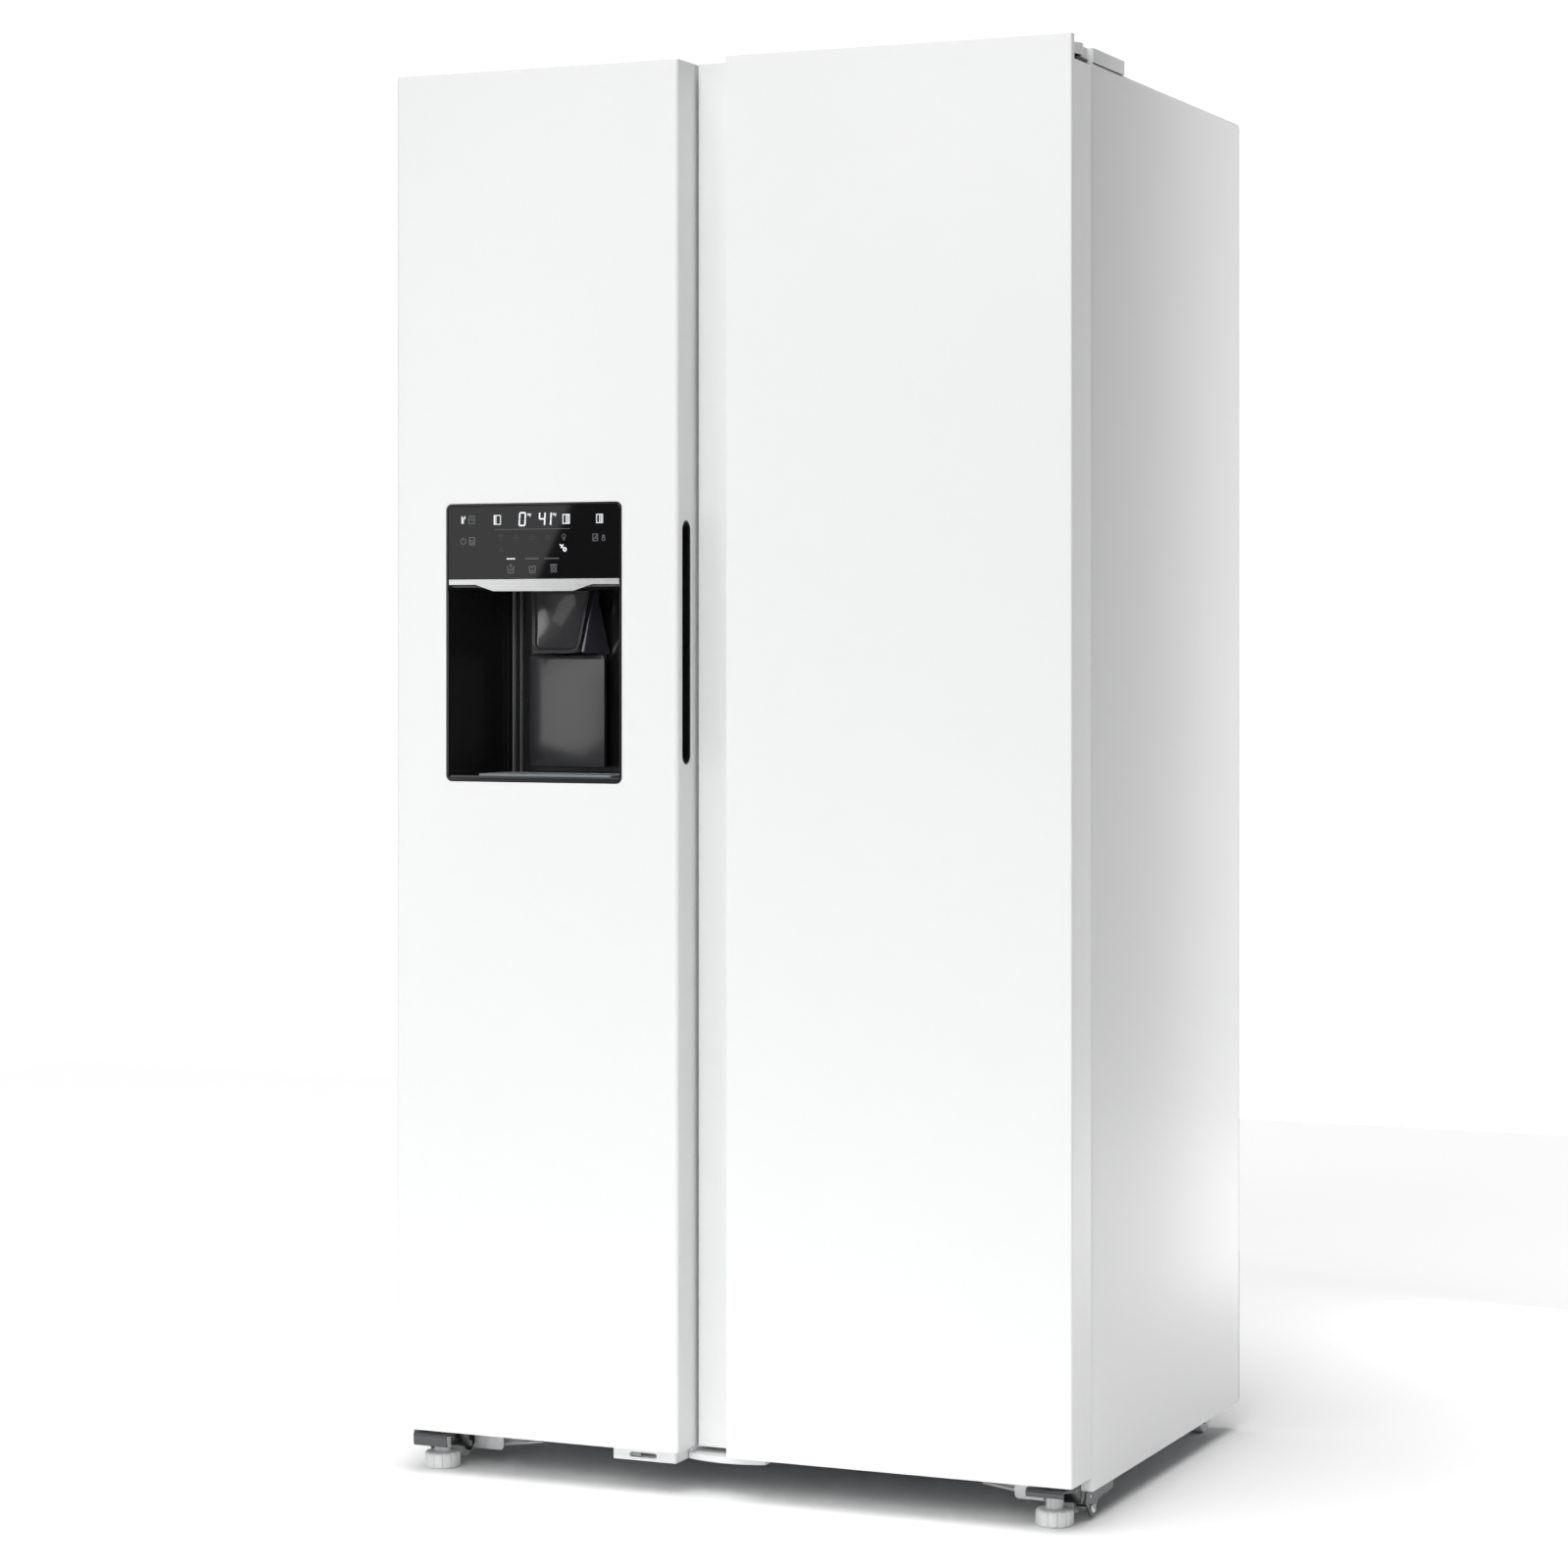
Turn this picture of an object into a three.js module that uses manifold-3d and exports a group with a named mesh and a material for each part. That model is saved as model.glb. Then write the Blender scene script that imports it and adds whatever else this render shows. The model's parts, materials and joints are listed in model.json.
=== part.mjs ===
// Side by side refrigerator with an ice and water dispenser in its freezer door.
// Millimetres, +Z up, front towards -Y, +X on the right as seen from the front.
// The origin is at the middle of the footprint, on the floor.
import * as THREE from "three";
import { mergeVertices } from "three/addons/utils/BufferGeometryUtils.js";
import Module from "manifold-3d";

const wasm = await Module();
wasm.setup();

// ---- Driving dimensions -----------------------------------------------------

const WIDTH = 910;
const DEPTH = 682;
const HEIGHT = 1777; // top of the doors
const GAP = 0.3; // clearance kept between touching pieces
const SHEET = 1; // steel skins
const PLASTIC = 2; // moulded liners

const SIDE = WIDTH / 2;
const FRONT = -DEPTH / 2;
const BACK = DEPTH / 2;

const CABINET = {
  front: FRONT + 76.5,
  back: BACK - SHEET - GAP,
  top: 1753,
  bottom: 37,
  panBottom: 48.3,
  foamBottom: 50.6,
  foldRadius: 5,
  flange: 15, // width of the rolled front edge
};

const CAVITY = { floor: 112, top: 1698, back: 281, stepTop: 290, stepFront: 96 };
const FREEZER = { x0: -405, x1: -86.6 };
const FRIDGE = { x0: -26.6, x1: 405 };
const MACHINE = { side: 430, front: 151, top: 240 };

const DOOR = { bottom: 55, back: FRONT + 70, closedEdge: 5 };
const FREEZER_DOOR = { x0: -SIDE, x1: -58.6 };
const FRIDGE_DOOR = { x0: -54.6, panelEdge: 6.6, x1: SIDE };
const GRIP = { flange: 52, lip: 9, mouth: 18 }; // depths behind the front face
const DYKE = { back: -229.5, width: 29, clear: 8 };
const GASKET = { y0: -270.7, y1: -264.8, z0: 72, z1: 1740, band: 18 };

const HINGE = { x: 435, y: FRONT + 37, pin: 6, notchFloor: 1748, notchWidth: 70, lip: 9 };
const FOOT = { x: 415.5, y: FRONT + 51, radius: 23, knob: 20, neck: 10.5, thread: 5 };
const BRACKET = { bottom: 44, top: 48 };

const DISPENSER = { x0: -382.7, x1: -135.8, z0: 880.8, z1: 1231.7, corner: 8, depth: 116 };
const RECESS = { z0: 886, z1: 1126, wall: 2.5 };
const SPOUT = { x0: -296, x1: -222, front: FRONT + 56, back: FRONT + 90, wall: 3 };
const SLOT = { d0: 12, d1: 36.5, z0: 905, z1: 1208, depth: 38 };
const BULGE = { x0: -397, x1: -116, back: -183, z0: 850, z1: 1250 };

// ---- Finishes ---------------------------------------------------------------

const finish = (color, roughness, metalness = 0) =>
  new THREE.MeshStandardMaterial({ color, roughness, metalness });

const WHITE_ENAMEL = finish(0xf1f2f2, 0.3);
const WHITE_PLASTIC = finish(0xeceded, 0.45);
const LINER_WHITE = finish(0xf3f4f4, 0.35);
const FOAM = finish(0xe6d9a8, 0.95);
const GREY_RUBBER = finish(0xb9bbbc, 0.8);
const DARK_PLASTIC = finish(0x2b2d30, 0.4);
const BLACK_GLOSS = finish(0x08090b, 0.08);
const SILVER = finish(0xc9ccd0, 0.25, 0.9);
const STEEL = finish(0x8d9094, 0.35, 1);
const BLACK_STEEL = finish(0x17181a, 0.5, 0.4);
const CLEAR_PLASTIC = finish(0xdfeaf0, 0.1);
const GLASS = finish(0xd5e6e2, 0.05);
const ALUMINIUM = finish(0xb7babd, 0.4, 1);
const GREY_PLASTIC = finish(0x9aa0a5, 0.5);

// ---- Solids -----------------------------------------------------------------

function solid(geometry) {
  geometry.deleteAttribute("normal");
  geometry.deleteAttribute("uv");
  const merged = mergeVertices(geometry, 1e-3);
  return new wasm.Manifold(new wasm.Mesh({
    numProp: 3,
    vertProperties: merged.attributes.position.array,
    triVerts: new Uint32Array(merged.index.array),
  }));
}

const union = (first, ...rest) => rest.reduce((sum, next) => sum.add(next), first);
const cut = (first, ...rest) => rest.reduce((sum, next) => sum.subtract(next), first);

function box(x0, x1, y0, y1, z0, z1) {
  const geometry = new THREE.BoxGeometry(x1 - x0, y1 - y0, z1 - z0);
  geometry.translate((x0 + x1) / 2, (y0 + y1) / 2, (z0 + z1) / 2);
  return solid(geometry);
}

function extrude(shape, depth, segments) {
  return new THREE.ExtrudeGeometry(shape, { depth, bevelEnabled: false, curveSegments: segments });
}

// Outline in X and Y, standing between two heights.
function prismZ(shape, z0, z1, segments = 3) {
  return solid(extrude(shape, z1 - z0, segments).translate(0, 0, z0));
}

// Outline in X and Z, between two depths.
function prismY(shape, y0, y1, segments = 3) {
  return solid(extrude(shape, y1 - y0, segments).rotateX(Math.PI / 2).translate(0, y1, 0));
}

// Outline in Y and Z, between two places across the width.
function prismX(shape, x0, x1, segments = 3) {
  const turn = new THREE.Matrix4().set(0, 0, 1, x0, 1, 0, 0, 0, 0, 1, 0, 0, 0, 0, 0, 1);
  return solid(extrude(shape, x1 - x0, segments).applyMatrix4(turn));
}

function cylinder(axis, [x, y, z], radius, length, sides = 24) {
  const geometry = new THREE.CylinderGeometry(radius, radius, length, sides);
  if (axis === "x") geometry.rotateZ(Math.PI / 2);
  if (axis === "z") geometry.rotateX(Math.PI / 2);
  return solid(geometry.translate(x, y, z));
}

// A turned solid about a vertical axis: points are [radius, height].
function turned(points, x, y, sides = 36) {
  const profile = points.map(([r, z]) => new THREE.Vector2(r, z));
  return solid(new THREE.LatheGeometry(profile, sides).rotateX(Math.PI / 2).translate(x, y, 0));
}

// A rectangle with its corners rounded, in the order lower left, lower right,
// upper right, upper left.
function rounded(x0, x1, y0, y1, radii = 0) {
  const [ll, lr, ur, ul] = Array.isArray(radii) ? radii : [radii, radii, radii, radii];
  const quarter = Math.PI / 2;
  const shape = new THREE.Shape();
  shape.moveTo(x0 + ll, y0);
  shape.lineTo(x1 - lr, y0);
  if (lr) shape.absarc(x1 - lr, y0 + lr, lr, -quarter, 0);
  shape.lineTo(x1, y1 - ur);
  if (ur) shape.absarc(x1 - ur, y1 - ur, ur, 0, quarter);
  shape.lineTo(x0 + ul, y1);
  if (ul) shape.absarc(x0 + ul, y1 - ul, ul, quarter, 2 * quarter);
  shape.lineTo(x0, y0 + ll);
  if (ll) shape.absarc(x0 + ll, y0 + ll, ll, 2 * quarter, 3 * quarter);
  return shape;
}

const polygon = (points) => new THREE.Shape(points.map(([x, y]) => new THREE.Vector2(x, y)));

const fridge = new THREE.Group();
const cabinet = new THREE.Group();
const freezerDoor = new THREE.Group();
const fridgeDoor = new THREE.Group();
fridge.add(cabinet, freezerDoor, fridgeDoor);

function place(group, name, shape, material) {
  const { vertProperties, triVerts } = shape.getMesh();
  const geometry = new THREE.BufferGeometry();
  geometry.setAttribute("position", new THREE.BufferAttribute(vertProperties, 3));
  geometry.setIndex(new THREE.BufferAttribute(triVerts, 1));
  const mesh = new THREE.Mesh(geometry, material);
  mesh.name = name;
  group.add(mesh);
}

// ---- Cabinet ----------------------------------------------------------------

// The cabinet's outer form, shrunk by inset, with its folded corners rounded.
function cabinetBlock(inset, back, bottom) {
  const side = SIDE - inset;
  const front = CABINET.front + inset;
  const top = CABINET.top - inset;
  const fold = CABINET.foldRadius - inset;
  const elevation = prismY(rounded(-side, side, bottom, top, [0, 0, fold, fold]), front, back);
  const plan = prismZ(rounded(-side, side, front, back, [fold, fold, 0, 0]), bottom, top);
  return elevation.intersect(plan);
}

// A food compartment with the machine compartment's step in its floor.
function cavityBlock({ x0, x1 }, grow) {
  const room = box(x0 - grow, x1 + grow, CABINET.front - 10, CAVITY.back + grow,
    CAVITY.floor - grow, CAVITY.top + grow);
  const step = box(x0 - grow - 1, x1 + grow + 1, CAVITY.stepFront + grow, BACK,
    0, CAVITY.stepTop - grow);
  return room.subtract(step);
}

// The painted sheet: sides, top, and a front face with the two compartments' openings.
function outerWrapper() {
  const window = SIDE - CABINET.flange;
  const shell = cut(
    cabinetBlock(0, CABINET.back, CABINET.bottom),
    cabinetBlock(SHEET, BACK + 5, CABINET.bottom - 5),
    box(-window, window, CABINET.front - 5, CABINET.front + 5, 0, CABINET.foamBottom),
    ...[FREEZER, FRIDGE].map((bay) => cavityBlock(bay, 0)),
  );
  place(cabinet, "outer_wrapper", shell, WHITE_ENAMEL);
}

// Foam round both compartments, as one hollow block.
function cabinetFoam() {
  const { side, front, top } = MACHINE;
  const foam = cut(
    cabinetBlock(SHEET + GAP, CABINET.back - GAP, CABINET.foamBottom),
    cavityBlock({ x0: FREEZER.x0, x1: FRIDGE.x1 }, PLASTIC + GAP),
    box(-side, side, front, BACK + 5, 0, top),
  );
  place(cabinet, "insulation_foam", foam, FOAM);
}

// The foam wall between the two compartments.
function mullionFoam() {
  const skin = 2 * PLASTIC + GAP;
  const wall = cavityBlock({ x0: FREEZER.x1 + skin, x1: FRIDGE.x0 - skin }, PLASTIC);
  const keep = box(-SIDE, SIDE, CABINET.front + SHEET + GAP, BACK, 0, HEIGHT);
  place(cabinet, "mullion_foam", wall.intersect(keep), FOAM);
}

const LEDGE = { reach: 8, height: 7 };

// A liner with pairs of ledges for its shelves and drawers: [height, front, back].
function liner(name, bay, ledges) {
  const front = CABINET.front + SHEET + GAP;
  const keep = box(-SIDE, SIDE, front, BACK, 0, HEIGHT);
  const shell = cut(cavityBlock(bay, PLASTIC), cavityBlock(bay, 0)).intersect(keep);
  const rails = ledges.flatMap(([z, y0, y1]) => [
    box(bay.x0 - 1, bay.x0 + LEDGE.reach, y0, y1, z - LEDGE.height, z),
    box(bay.x1 - LEDGE.reach, bay.x1 + 1, y0, y1, z - LEDGE.height, z),
  ]);
  place(cabinet, name, union(shell, ...rails), LINER_WHITE);
}

function basePan() {
  const front = CABINET.front + SHEET + GAP;
  const inner = SIDE - SHEET - GAP;
  const lip = 380;
  const fold = CABINET.foldRadius - SHEET - GAP;
  const floor = rounded(-inner, inner, front, CABINET.back, [fold, fold, 0, 0]);
  const pan = union(
    prismZ(floor, CABINET.panBottom, CABINET.panBottom + 2),
    box(-lip, lip, front, front + 2, CABINET.bottom + 1, CABINET.panBottom + 1),
    ...[-1, 1].flatMap((side) => earPair(side, REAR_ROLLER, plainEar(REAR_ROLLER, CABINET.panBottom + 1))),
  );
  place(cabinet, "base_pan", pan, STEEL);
}

// ---- Rollers, feet and bottom hinges ----------------------------------------

const FRONT_ROLLER = { x: 417, y: FRONT + 104, z: 20, radius: 17, width: 18 };
const REAR_ROLLER = { x: 410, y: 300, z: 20, radius: 20, width: 20 };
const AXLE = 4;
const EAR = { thickness: 3, reach: 13, round: 9, shoulder: 34, ahead: 24, behind: 56 };

// A pair of upright plates on each side of a roller, bored for its axle.
function earPair(side, roller, outline) {
  const faces = [roller.width / 2 + 1, -roller.width / 2 - 1 - EAR.thickness];
  return faces.map((offset) => {
    const x = side * roller.x + offset;
    const bore = cylinder("x", [x, roller.y, roller.z], AXLE + GAP + 0.1, 20, 20);
    return cut(prismX(outline, x, x + EAR.thickness, 6), bore);
  });
}

const plainEar = ({ y, z }, top) =>
  rounded(y - EAR.reach, y + EAR.reach, z - 8, top, [8, 8, 0, 0]);

// A wide shoulder under the plate that narrows to a round end about the axle.
function shoulderedEar({ y, z }, top) {
  const lean = Math.PI / 6;
  const shape = new THREE.Shape();
  shape.moveTo(y - EAR.ahead, top);
  shape.lineTo(y - EAR.ahead, EAR.shoulder);
  shape.absarc(y, z, EAR.round, Math.PI + lean, 2 * Math.PI - lean);
  shape.lineTo(y + EAR.behind, EAR.shoulder + 4);
  shape.lineTo(y + EAR.behind, top);
  return shape;
}

function rollers(prefix, roller) {
  for (const [label, side] of [["left", -1], ["right", 1]]) {
    const centre = [side * roller.x, roller.y, roller.z];
    const wheel = cylinder("x", centre, roller.radius, roller.width, 32);
    const axle = cylinder("x", centre, AXLE, roller.width + 10, 16);
    place(cabinet, `${prefix}_roller_${label}`, union(wheel, axle), WHITE_PLASTIC);
  }
}

// A bottom hinge: floor plate, front flange, upward pin and the roller's ears.
function bottomHinge(label, side) {
  const { bottom, top } = BRACKET;
  const inner = SIDE - CABINET.flange - GAP;
  const [near, far] = [392, inner].map((x) => side * x).sort((a, b) => a - b);
  const pinX = side * HINGE.x;
  const boss = cylinder("z", [pinX, HINGE.y, (bottom + top) / 2], HINGE.pin + 7, top - bottom);
  const plate = cut(
    union(prismZ(rounded(near, far, FRONT + 20, -150, [6, 6, 0, 0]), bottom, top), boss),
    cylinder("z", [side * FOOT.x, FOOT.y, bottom], FOOT.thread + GAP, 20, 24),
  );
  const pin = cylinder("z", [pinX, HINGE.y, (top + 72) / 2 - 1], HINGE.pin, 72 - top + 2);
  const flange = box(near, far, FRONT + 76, FRONT + 79, 22, bottom + 1);
  const ears = earPair(side, FRONT_ROLLER, shoulderedEar(FRONT_ROLLER, bottom + 1));
  const bracket = union(plate, pin, flange, ...ears);
  place(cabinet, `bottom_hinge_${label}`, bracket, STEEL);
}

// A levelling foot: scalloped knob, neck and the stub of its thread.
function foot(label, side) {
  const [x, y] = [side * FOOT.x, FOOT.y];
  const [seat, stub] = [BRACKET.bottom - GAP, BRACKET.top + 4];
  const body = turned([
    [0, 0], [FOOT.radius - 2, 0], [FOOT.radius, 2], [FOOT.radius, FOOT.knob - 3],
    [FOOT.radius - 3, FOOT.knob], [FOOT.neck, FOOT.knob + 1], [FOOT.neck, seat],
    [FOOT.thread, seat], [FOOT.thread, stub], [0, stub],
  ], x, y);
  const scallops = Array.from({ length: 12 }, (_, i) => {
    const angle = (i / 12) * 2 * Math.PI;
    const reach = FOOT.radius + 3;
    const centre = [x + reach * Math.cos(angle), y + reach * Math.sin(angle), FOOT.knob / 2 + 3];
    return cylinder("z", centre, 4.4, FOOT.knob, 8);
  });
  place(cabinet, `foot_${label}`, cut(body, ...scallops), WHITE_PLASTIC);
}

// A moulded lip under the gap between the doors, with a convex front.
function baseLip() {
  const [x0, x1, y0, y1] = [-64.7, 40, FRONT + 30, CABINET.front - GAP];
  const shape = new THREE.Shape();
  shape.moveTo(x1, y1);
  shape.lineTo(x0, y1);
  shape.lineTo(x0, y0 + 14);
  shape.quadraticCurveTo((x0 + x1) / 2, y0 - 8, x1, y0 + 14);
  place(cabinet, "base_lip", prismZ(shape, 40, 48, 10), WHITE_PLASTIC);
}

// ---- Top hinges -------------------------------------------------------------

const ARM = { bottom: CABINET.top + GAP, thickness: 3, half: 12 };
const COVER = { top: 1770, wall: 2, front: FRONT + 78, back: FRONT + 200, inner: 385, nose: 20 };

function topHinge(label, side) {
  const [x, y] = [side * HINGE.x, HINGE.y];
  const [low, high] = [ARM.bottom, ARM.bottom + ARM.thickness];
  const [wide0, wide1] = [COVER.inner + 5, SIDE - 5].map((v) => side * v).sort((a, b) => a - b);
  const steel = union(
    cylinder("z", [x, y, (low + high) / 2], ARM.half, ARM.thickness),
    box(x - ARM.half, x + ARM.half, y, COVER.front + 12, low, high),
    box(wide0, wide1, COVER.front + 5, COVER.back - 5, low, high),
    cylinder("z", [x, y, (high + 1722) / 2], HINGE.pin, high - 1722),
  );
  place(cabinet, `top_hinge_${label}`, steel, STEEL);
}

// The cover's form in plan, shrunk by inset: a wide box with a round nose.
function coverForm(side, inset, z0, z1) {
  const [x, y] = [side * HINGE.x, HINGE.y];
  const [a, b] = [COVER.inner + inset, SIDE - inset].map((v) => side * v).sort((p, q) => p - q);
  const neck = ARM.half - inset;
  return union(
    prismZ(rounded(a, b, COVER.front + inset, COVER.back - inset, 5 - inset), z0, z1),
    box(x - neck, x + neck, y, COVER.front + 20, z0, z1),
    cylinder("z", [x, y, (z0 + z1) / 2], COVER.nose - inset, z1 - z0, 40),
  );
}

function hingeCover(label, side) {
  const bottom = ARM.bottom + ARM.thickness + GAP;
  const shell = cut(
    coverForm(side, 0, bottom, COVER.top),
    coverForm(side, COVER.wall, bottom - 1, COVER.top - COVER.wall),
  );
  const skirtOuter = coverForm(side, 0, CABINET.top + GAP, bottom + 1);
  const skirtInner = coverForm(side, COVER.wall, CABINET.top - 1, bottom + 2);
  const wideOnly = box(-SIDE, SIDE, COVER.front, BACK, 0, HEIGHT);
  const arm = box(side * HINGE.x - ARM.half - GAP, side * HINGE.x + ARM.half + GAP,
    FRONT, COVER.front + 8, 0, bottom);
  const skirt = cut(skirtOuter.intersect(wideOnly), skirtInner, arm);
  place(cabinet, `hinge_cover_${label}`, union(shell, skirt), WHITE_PLASTIC);
}

// ---- Rear of the cabinet ----------------------------------------------------

function backPanel() {
  const fold = CABINET.foldRadius;
  const sheet = rounded(-SIDE, SIDE, MACHINE.top + GAP, CABINET.top, [0, 0, fold, fold]);
  place(cabinet, "back_panel", prismY(sheet, BACK - SHEET, BACK), STEEL);
}

const INLET = { x: -330, z: 150, width: 48, height: 30, depth: 20 };

// The machine compartment's cover, with its air slots and the recessed power inlet.
function machineCover() {
  const slots = Array.from({ length: 22 }, (_, i) => -240 + i * 28).flatMap((left) =>
    [80, 160].map((low) => box(left, left + 12, BACK - 5, BACK + 5, low, low + 60)));
  const { x, z, width: w, height: h, depth: d } = INLET;
  const cup = (grow, y0, y1) =>
    box(x - w / 2 - grow, x + w / 2 + grow, y0, y1, z - h / 2 - grow, z + h / 2 + grow);
  const pins = [-12, 0, 12].map((dx) =>
    box(x + dx - 2, x + dx + 2, BACK - d - 1, BACK - 5, z - 3, z + 3));
  const sheet = box(-SIDE, SIDE, BACK - SHEET, BACK, 40, MACHINE.top);
  const cover = cut(union(sheet, cup(2, BACK - d - 2, BACK - 0.5)), cup(0, BACK - d, BACK + 1), ...slots);
  place(cabinet, "machine_cover", union(cover, ...pins), BLACK_STEEL);
}

function compressor() {
  const [x, y, base] = [260, 240, CABINET.panBottom + 2 + GAP];
  const dome = turned([
    [0, base + 12], [70, base + 12], [78, base + 20], [78, base + 80], [76, base + 86],
    [72, base + 108], [52, base + 132], [0, base + 142],
  ], x, y, 28);
  const plate = prismZ(rounded(x - 95, x + 95, y - 60, y + 60, 10), base, base + 14);
  const relay = box(x - 110, x - 70, y - 25, y + 25, base + 40, base + 90);
  place(cabinet, "compressor", union(dome, plate, relay), BLACK_STEEL);
}

// A block of fins threaded by two headers.
function finBlock(x0, x1, y0, y1, z0, z1, fins) {
  const pitch = (x1 - x0) / fins;
  const plates = Array.from({ length: fins }, (_, i) =>
    box(x0 + i * pitch, x0 + i * pitch + 2, y0, y1, z0, z1));
  const tubes = [0.3, 0.7].map((part) =>
    box(x0, x1 - pitch + 2, (y0 + y1) / 2 - 4, (y0 + y1) / 2 + 4,
      z0 + part * (z1 - z0) - 4, z0 + part * (z1 - z0) + 4));
  return union(tubes[0], tubes[1], ...plates);
}

const CONDENSER_FAN = { x: -95, y: 240, z: 126, radius: 58 };
const FAN_SHAFT = 3;
const EVAPORATOR_FAN = { x: -245.8, y: 251, z: 1290, radius: 62 };

function condenser() {
  const base = CABINET.panBottom + 2 + GAP;
  const { x, y, z, radius } = CONDENSER_FAN;
  const shroud = cut(
    box(x - 14, x + 14, y - 70, y + 70, base, z + 70),
    cylinder("x", [x, y, z], radius + 4, 60, 40),
  );
  const motor = cylinder("x", [x + 40, y, z], 20, 30, 24);
  const shaft = cylinder("x", [x + 10, y, z], FAN_SHAFT, 40, 16);
  const stand = box(x + 26, x + 54, y - 8, y + 8, base, z);
  const sill = box(-392, x + 54, y - 20, y + 20, base, base + 4);
  const fins = finBlock(-390, -150, 185, 295, base + 3, 195, 14);
  place(cabinet, "condenser", union(fins, sill, shroud, motor, shaft, stand), BLACK_STEEL);
}

function evaporator() {
  place(cabinet, "evaporator", finBlock(-385, -107, 221, 275, 760, 1150, 14), ALUMINIUM);
}

// A fan with pitched blades; its shaft lies along X and is turned to Y if asked.
function fan(name, { x, y, z, radius }, axis, material) {
  const blades = Array.from({ length: 5 }, (_, i) => {
    const blade = new THREE.BoxGeometry(3, 30, radius - 8);
    blade.rotateZ(0.5).translate(0, 0, (radius + 8) / 2);
    return solid(blade.rotateX((i / 5) * 2 * Math.PI));
  });
  const hub = union(cylinder("x", [0, 0, 0], 15, 20, 24), ...blades);
  const rotor = cut(hub, cylinder("x", [0, 0, 0], FAN_SHAFT + GAP + 0.1, 40, 16));
  const turnedRotor = axis === "y" ? rotor.rotate([0, 0, 90]) : rotor;
  place(cabinet, name, turnedRotor.translate([x, y, z]), material);
}

function evaporatorCover() {
  const { x, z, radius } = EVAPORATOR_FAN;
  const sheet = box(FREEZER.x0 + 0.5, FREEZER.x1 - 0.5, 213, 216, CAVITY.stepTop + GAP, CAVITY.top - 0.5);
  const mouth = cylinder("y", [x, 215, z], radius - 12, 20);
  const vents = Array.from({ length: 7 }, (_, i) => box(-390 + i * 42, -366 + i * 42, 200, 230, 700, 712));
  const strut = box(x - 8, x + 8, 213, 216, z - radius, z + radius);
  const shaft = cylinder("y", [x, 238, z], FAN_SHAFT, 48, 16);
  place(cabinet, "evaporator_cover", union(cut(sheet, mouth, ...vents), strut, shaft), LINER_WHITE);
}

// ---- Inside the compartments ------------------------------------------------

const SHELVES = [
  ["freezer_shelf_upper", FREEZER, 1256, -165, 211],
  ["freezer_shelf_lower", FREEZER, 900, -140, 211],
  ["fridge_shelf_upper", FRIDGE, 1380, -124, 278],
  ["fridge_shelf_lower", FRIDGE, 1080, -124, 278],
  ["crisper_cover", FRIDGE, 572, -124, 278],
];

const DRAWERS = [
  ["freezer_drawer_lower", FREEZER, 120, 286, 88],
  ["freezer_drawer_upper", FREEZER, 306, 560, 205],
  ["crisper_lower", FRIDGE, 120, 286, 88],
  ["crisper_upper", FRIDGE, 306, 556, 272],
];
const DRAWER_FRONT = -124;
const DRAWER_SIDE = 11; // clear of the ledges

const BINS = [
  ["freezer_bin_lower", freezerDoor, FREEZER, 650, 750],
  ["freezer_bin_upper", freezerDoor, FREEZER, 1500, 1600],
  ["fridge_bin_lower", fridgeDoor, FRIDGE, 660, 790],
  ["fridge_bin_middle", fridgeDoor, FRIDGE, 1120, 1230],
  ["fridge_bin_upper", fridgeDoor, FRIDGE, 1450, 1560],
];
const BIN_FRONT = -150;

function shelf([name, bay, z, y0, y1]) {
  const plate = prismZ(rounded(bay.x0 + 1, bay.x1 - 1, y0, y1, [6, 6, 0, 0]), z, z + 5);
  place(cabinet, name, plate, GLASS);
}

// An open tray with rounded front corners and walls of one thickness.
function tray(x0, x1, y0, y1, z0, z1, corners, wall = 2.5) {
  const inner = corners.map((r) => Math.max(r - wall, 0));
  return cut(
    prismZ(rounded(x0, x1, y0, y1, corners), z0, z1),
    prismZ(rounded(x0 + wall, x1 - wall, y0 + wall, y1 - wall, inner), z0 + wall, z1 + 1),
  );
}

function drawer([name, bay, z0, z1, back]) {
  const [x0, x1] = [bay.x0 + DRAWER_SIDE, bay.x1 - DRAWER_SIDE];
  const body = tray(x0, x1, DRAWER_FRONT, back, z0, z1, [8, 8, 0, 0]);
  const grip = box(x0 + 60, x1 - 60, DRAWER_FRONT - 10, DRAWER_FRONT + 1, z1 - 16, z1 - 12);
  place(cabinet, name, union(body, grip), CLEAR_PLASTIC);
}

function bin([name, door, bay, z0, z1]) {
  const { left, right } = dykes(bay);
  const body = tray(left + 1, right - 1, DOOR.back + PLASTIC + 1, BIN_FRONT, z0, z1, [0, 0, 14, 14]);
  place(door, name, body, CLEAR_PLASTIC);
}

function iceMaker() {
  const bowl = cut(
    prismX(rounded(-60, 40, 1570, 1630, [25, 25, 0, 0]), -380, -130),
    ...Array.from({ length: 7 }, (_, i) => prismX(
      rounded(-55, 35, 1576, 1640, [20, 20, 0, 0]), -376 + i * 35, -346 + i * 35)),
  );
  const motor = box(-130.5, -92, -62, 42, 1560, 1650);
  const hangers = [-360, -170].map((x) => box(x, x + 12, 38, 46, 1600, CAVITY.top - GAP));
  place(cabinet, "ice_maker", union(bowl, motor, ...hangers), GREY_PLASTIC);
}

const BUCKET = { x0: -394, x1: -98, y0: -217, y1: 130, z0: 1262, z1: 1440, wall: 3 };
const AUGER = { x: -259, z: 1300, radius: 26 };

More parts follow.
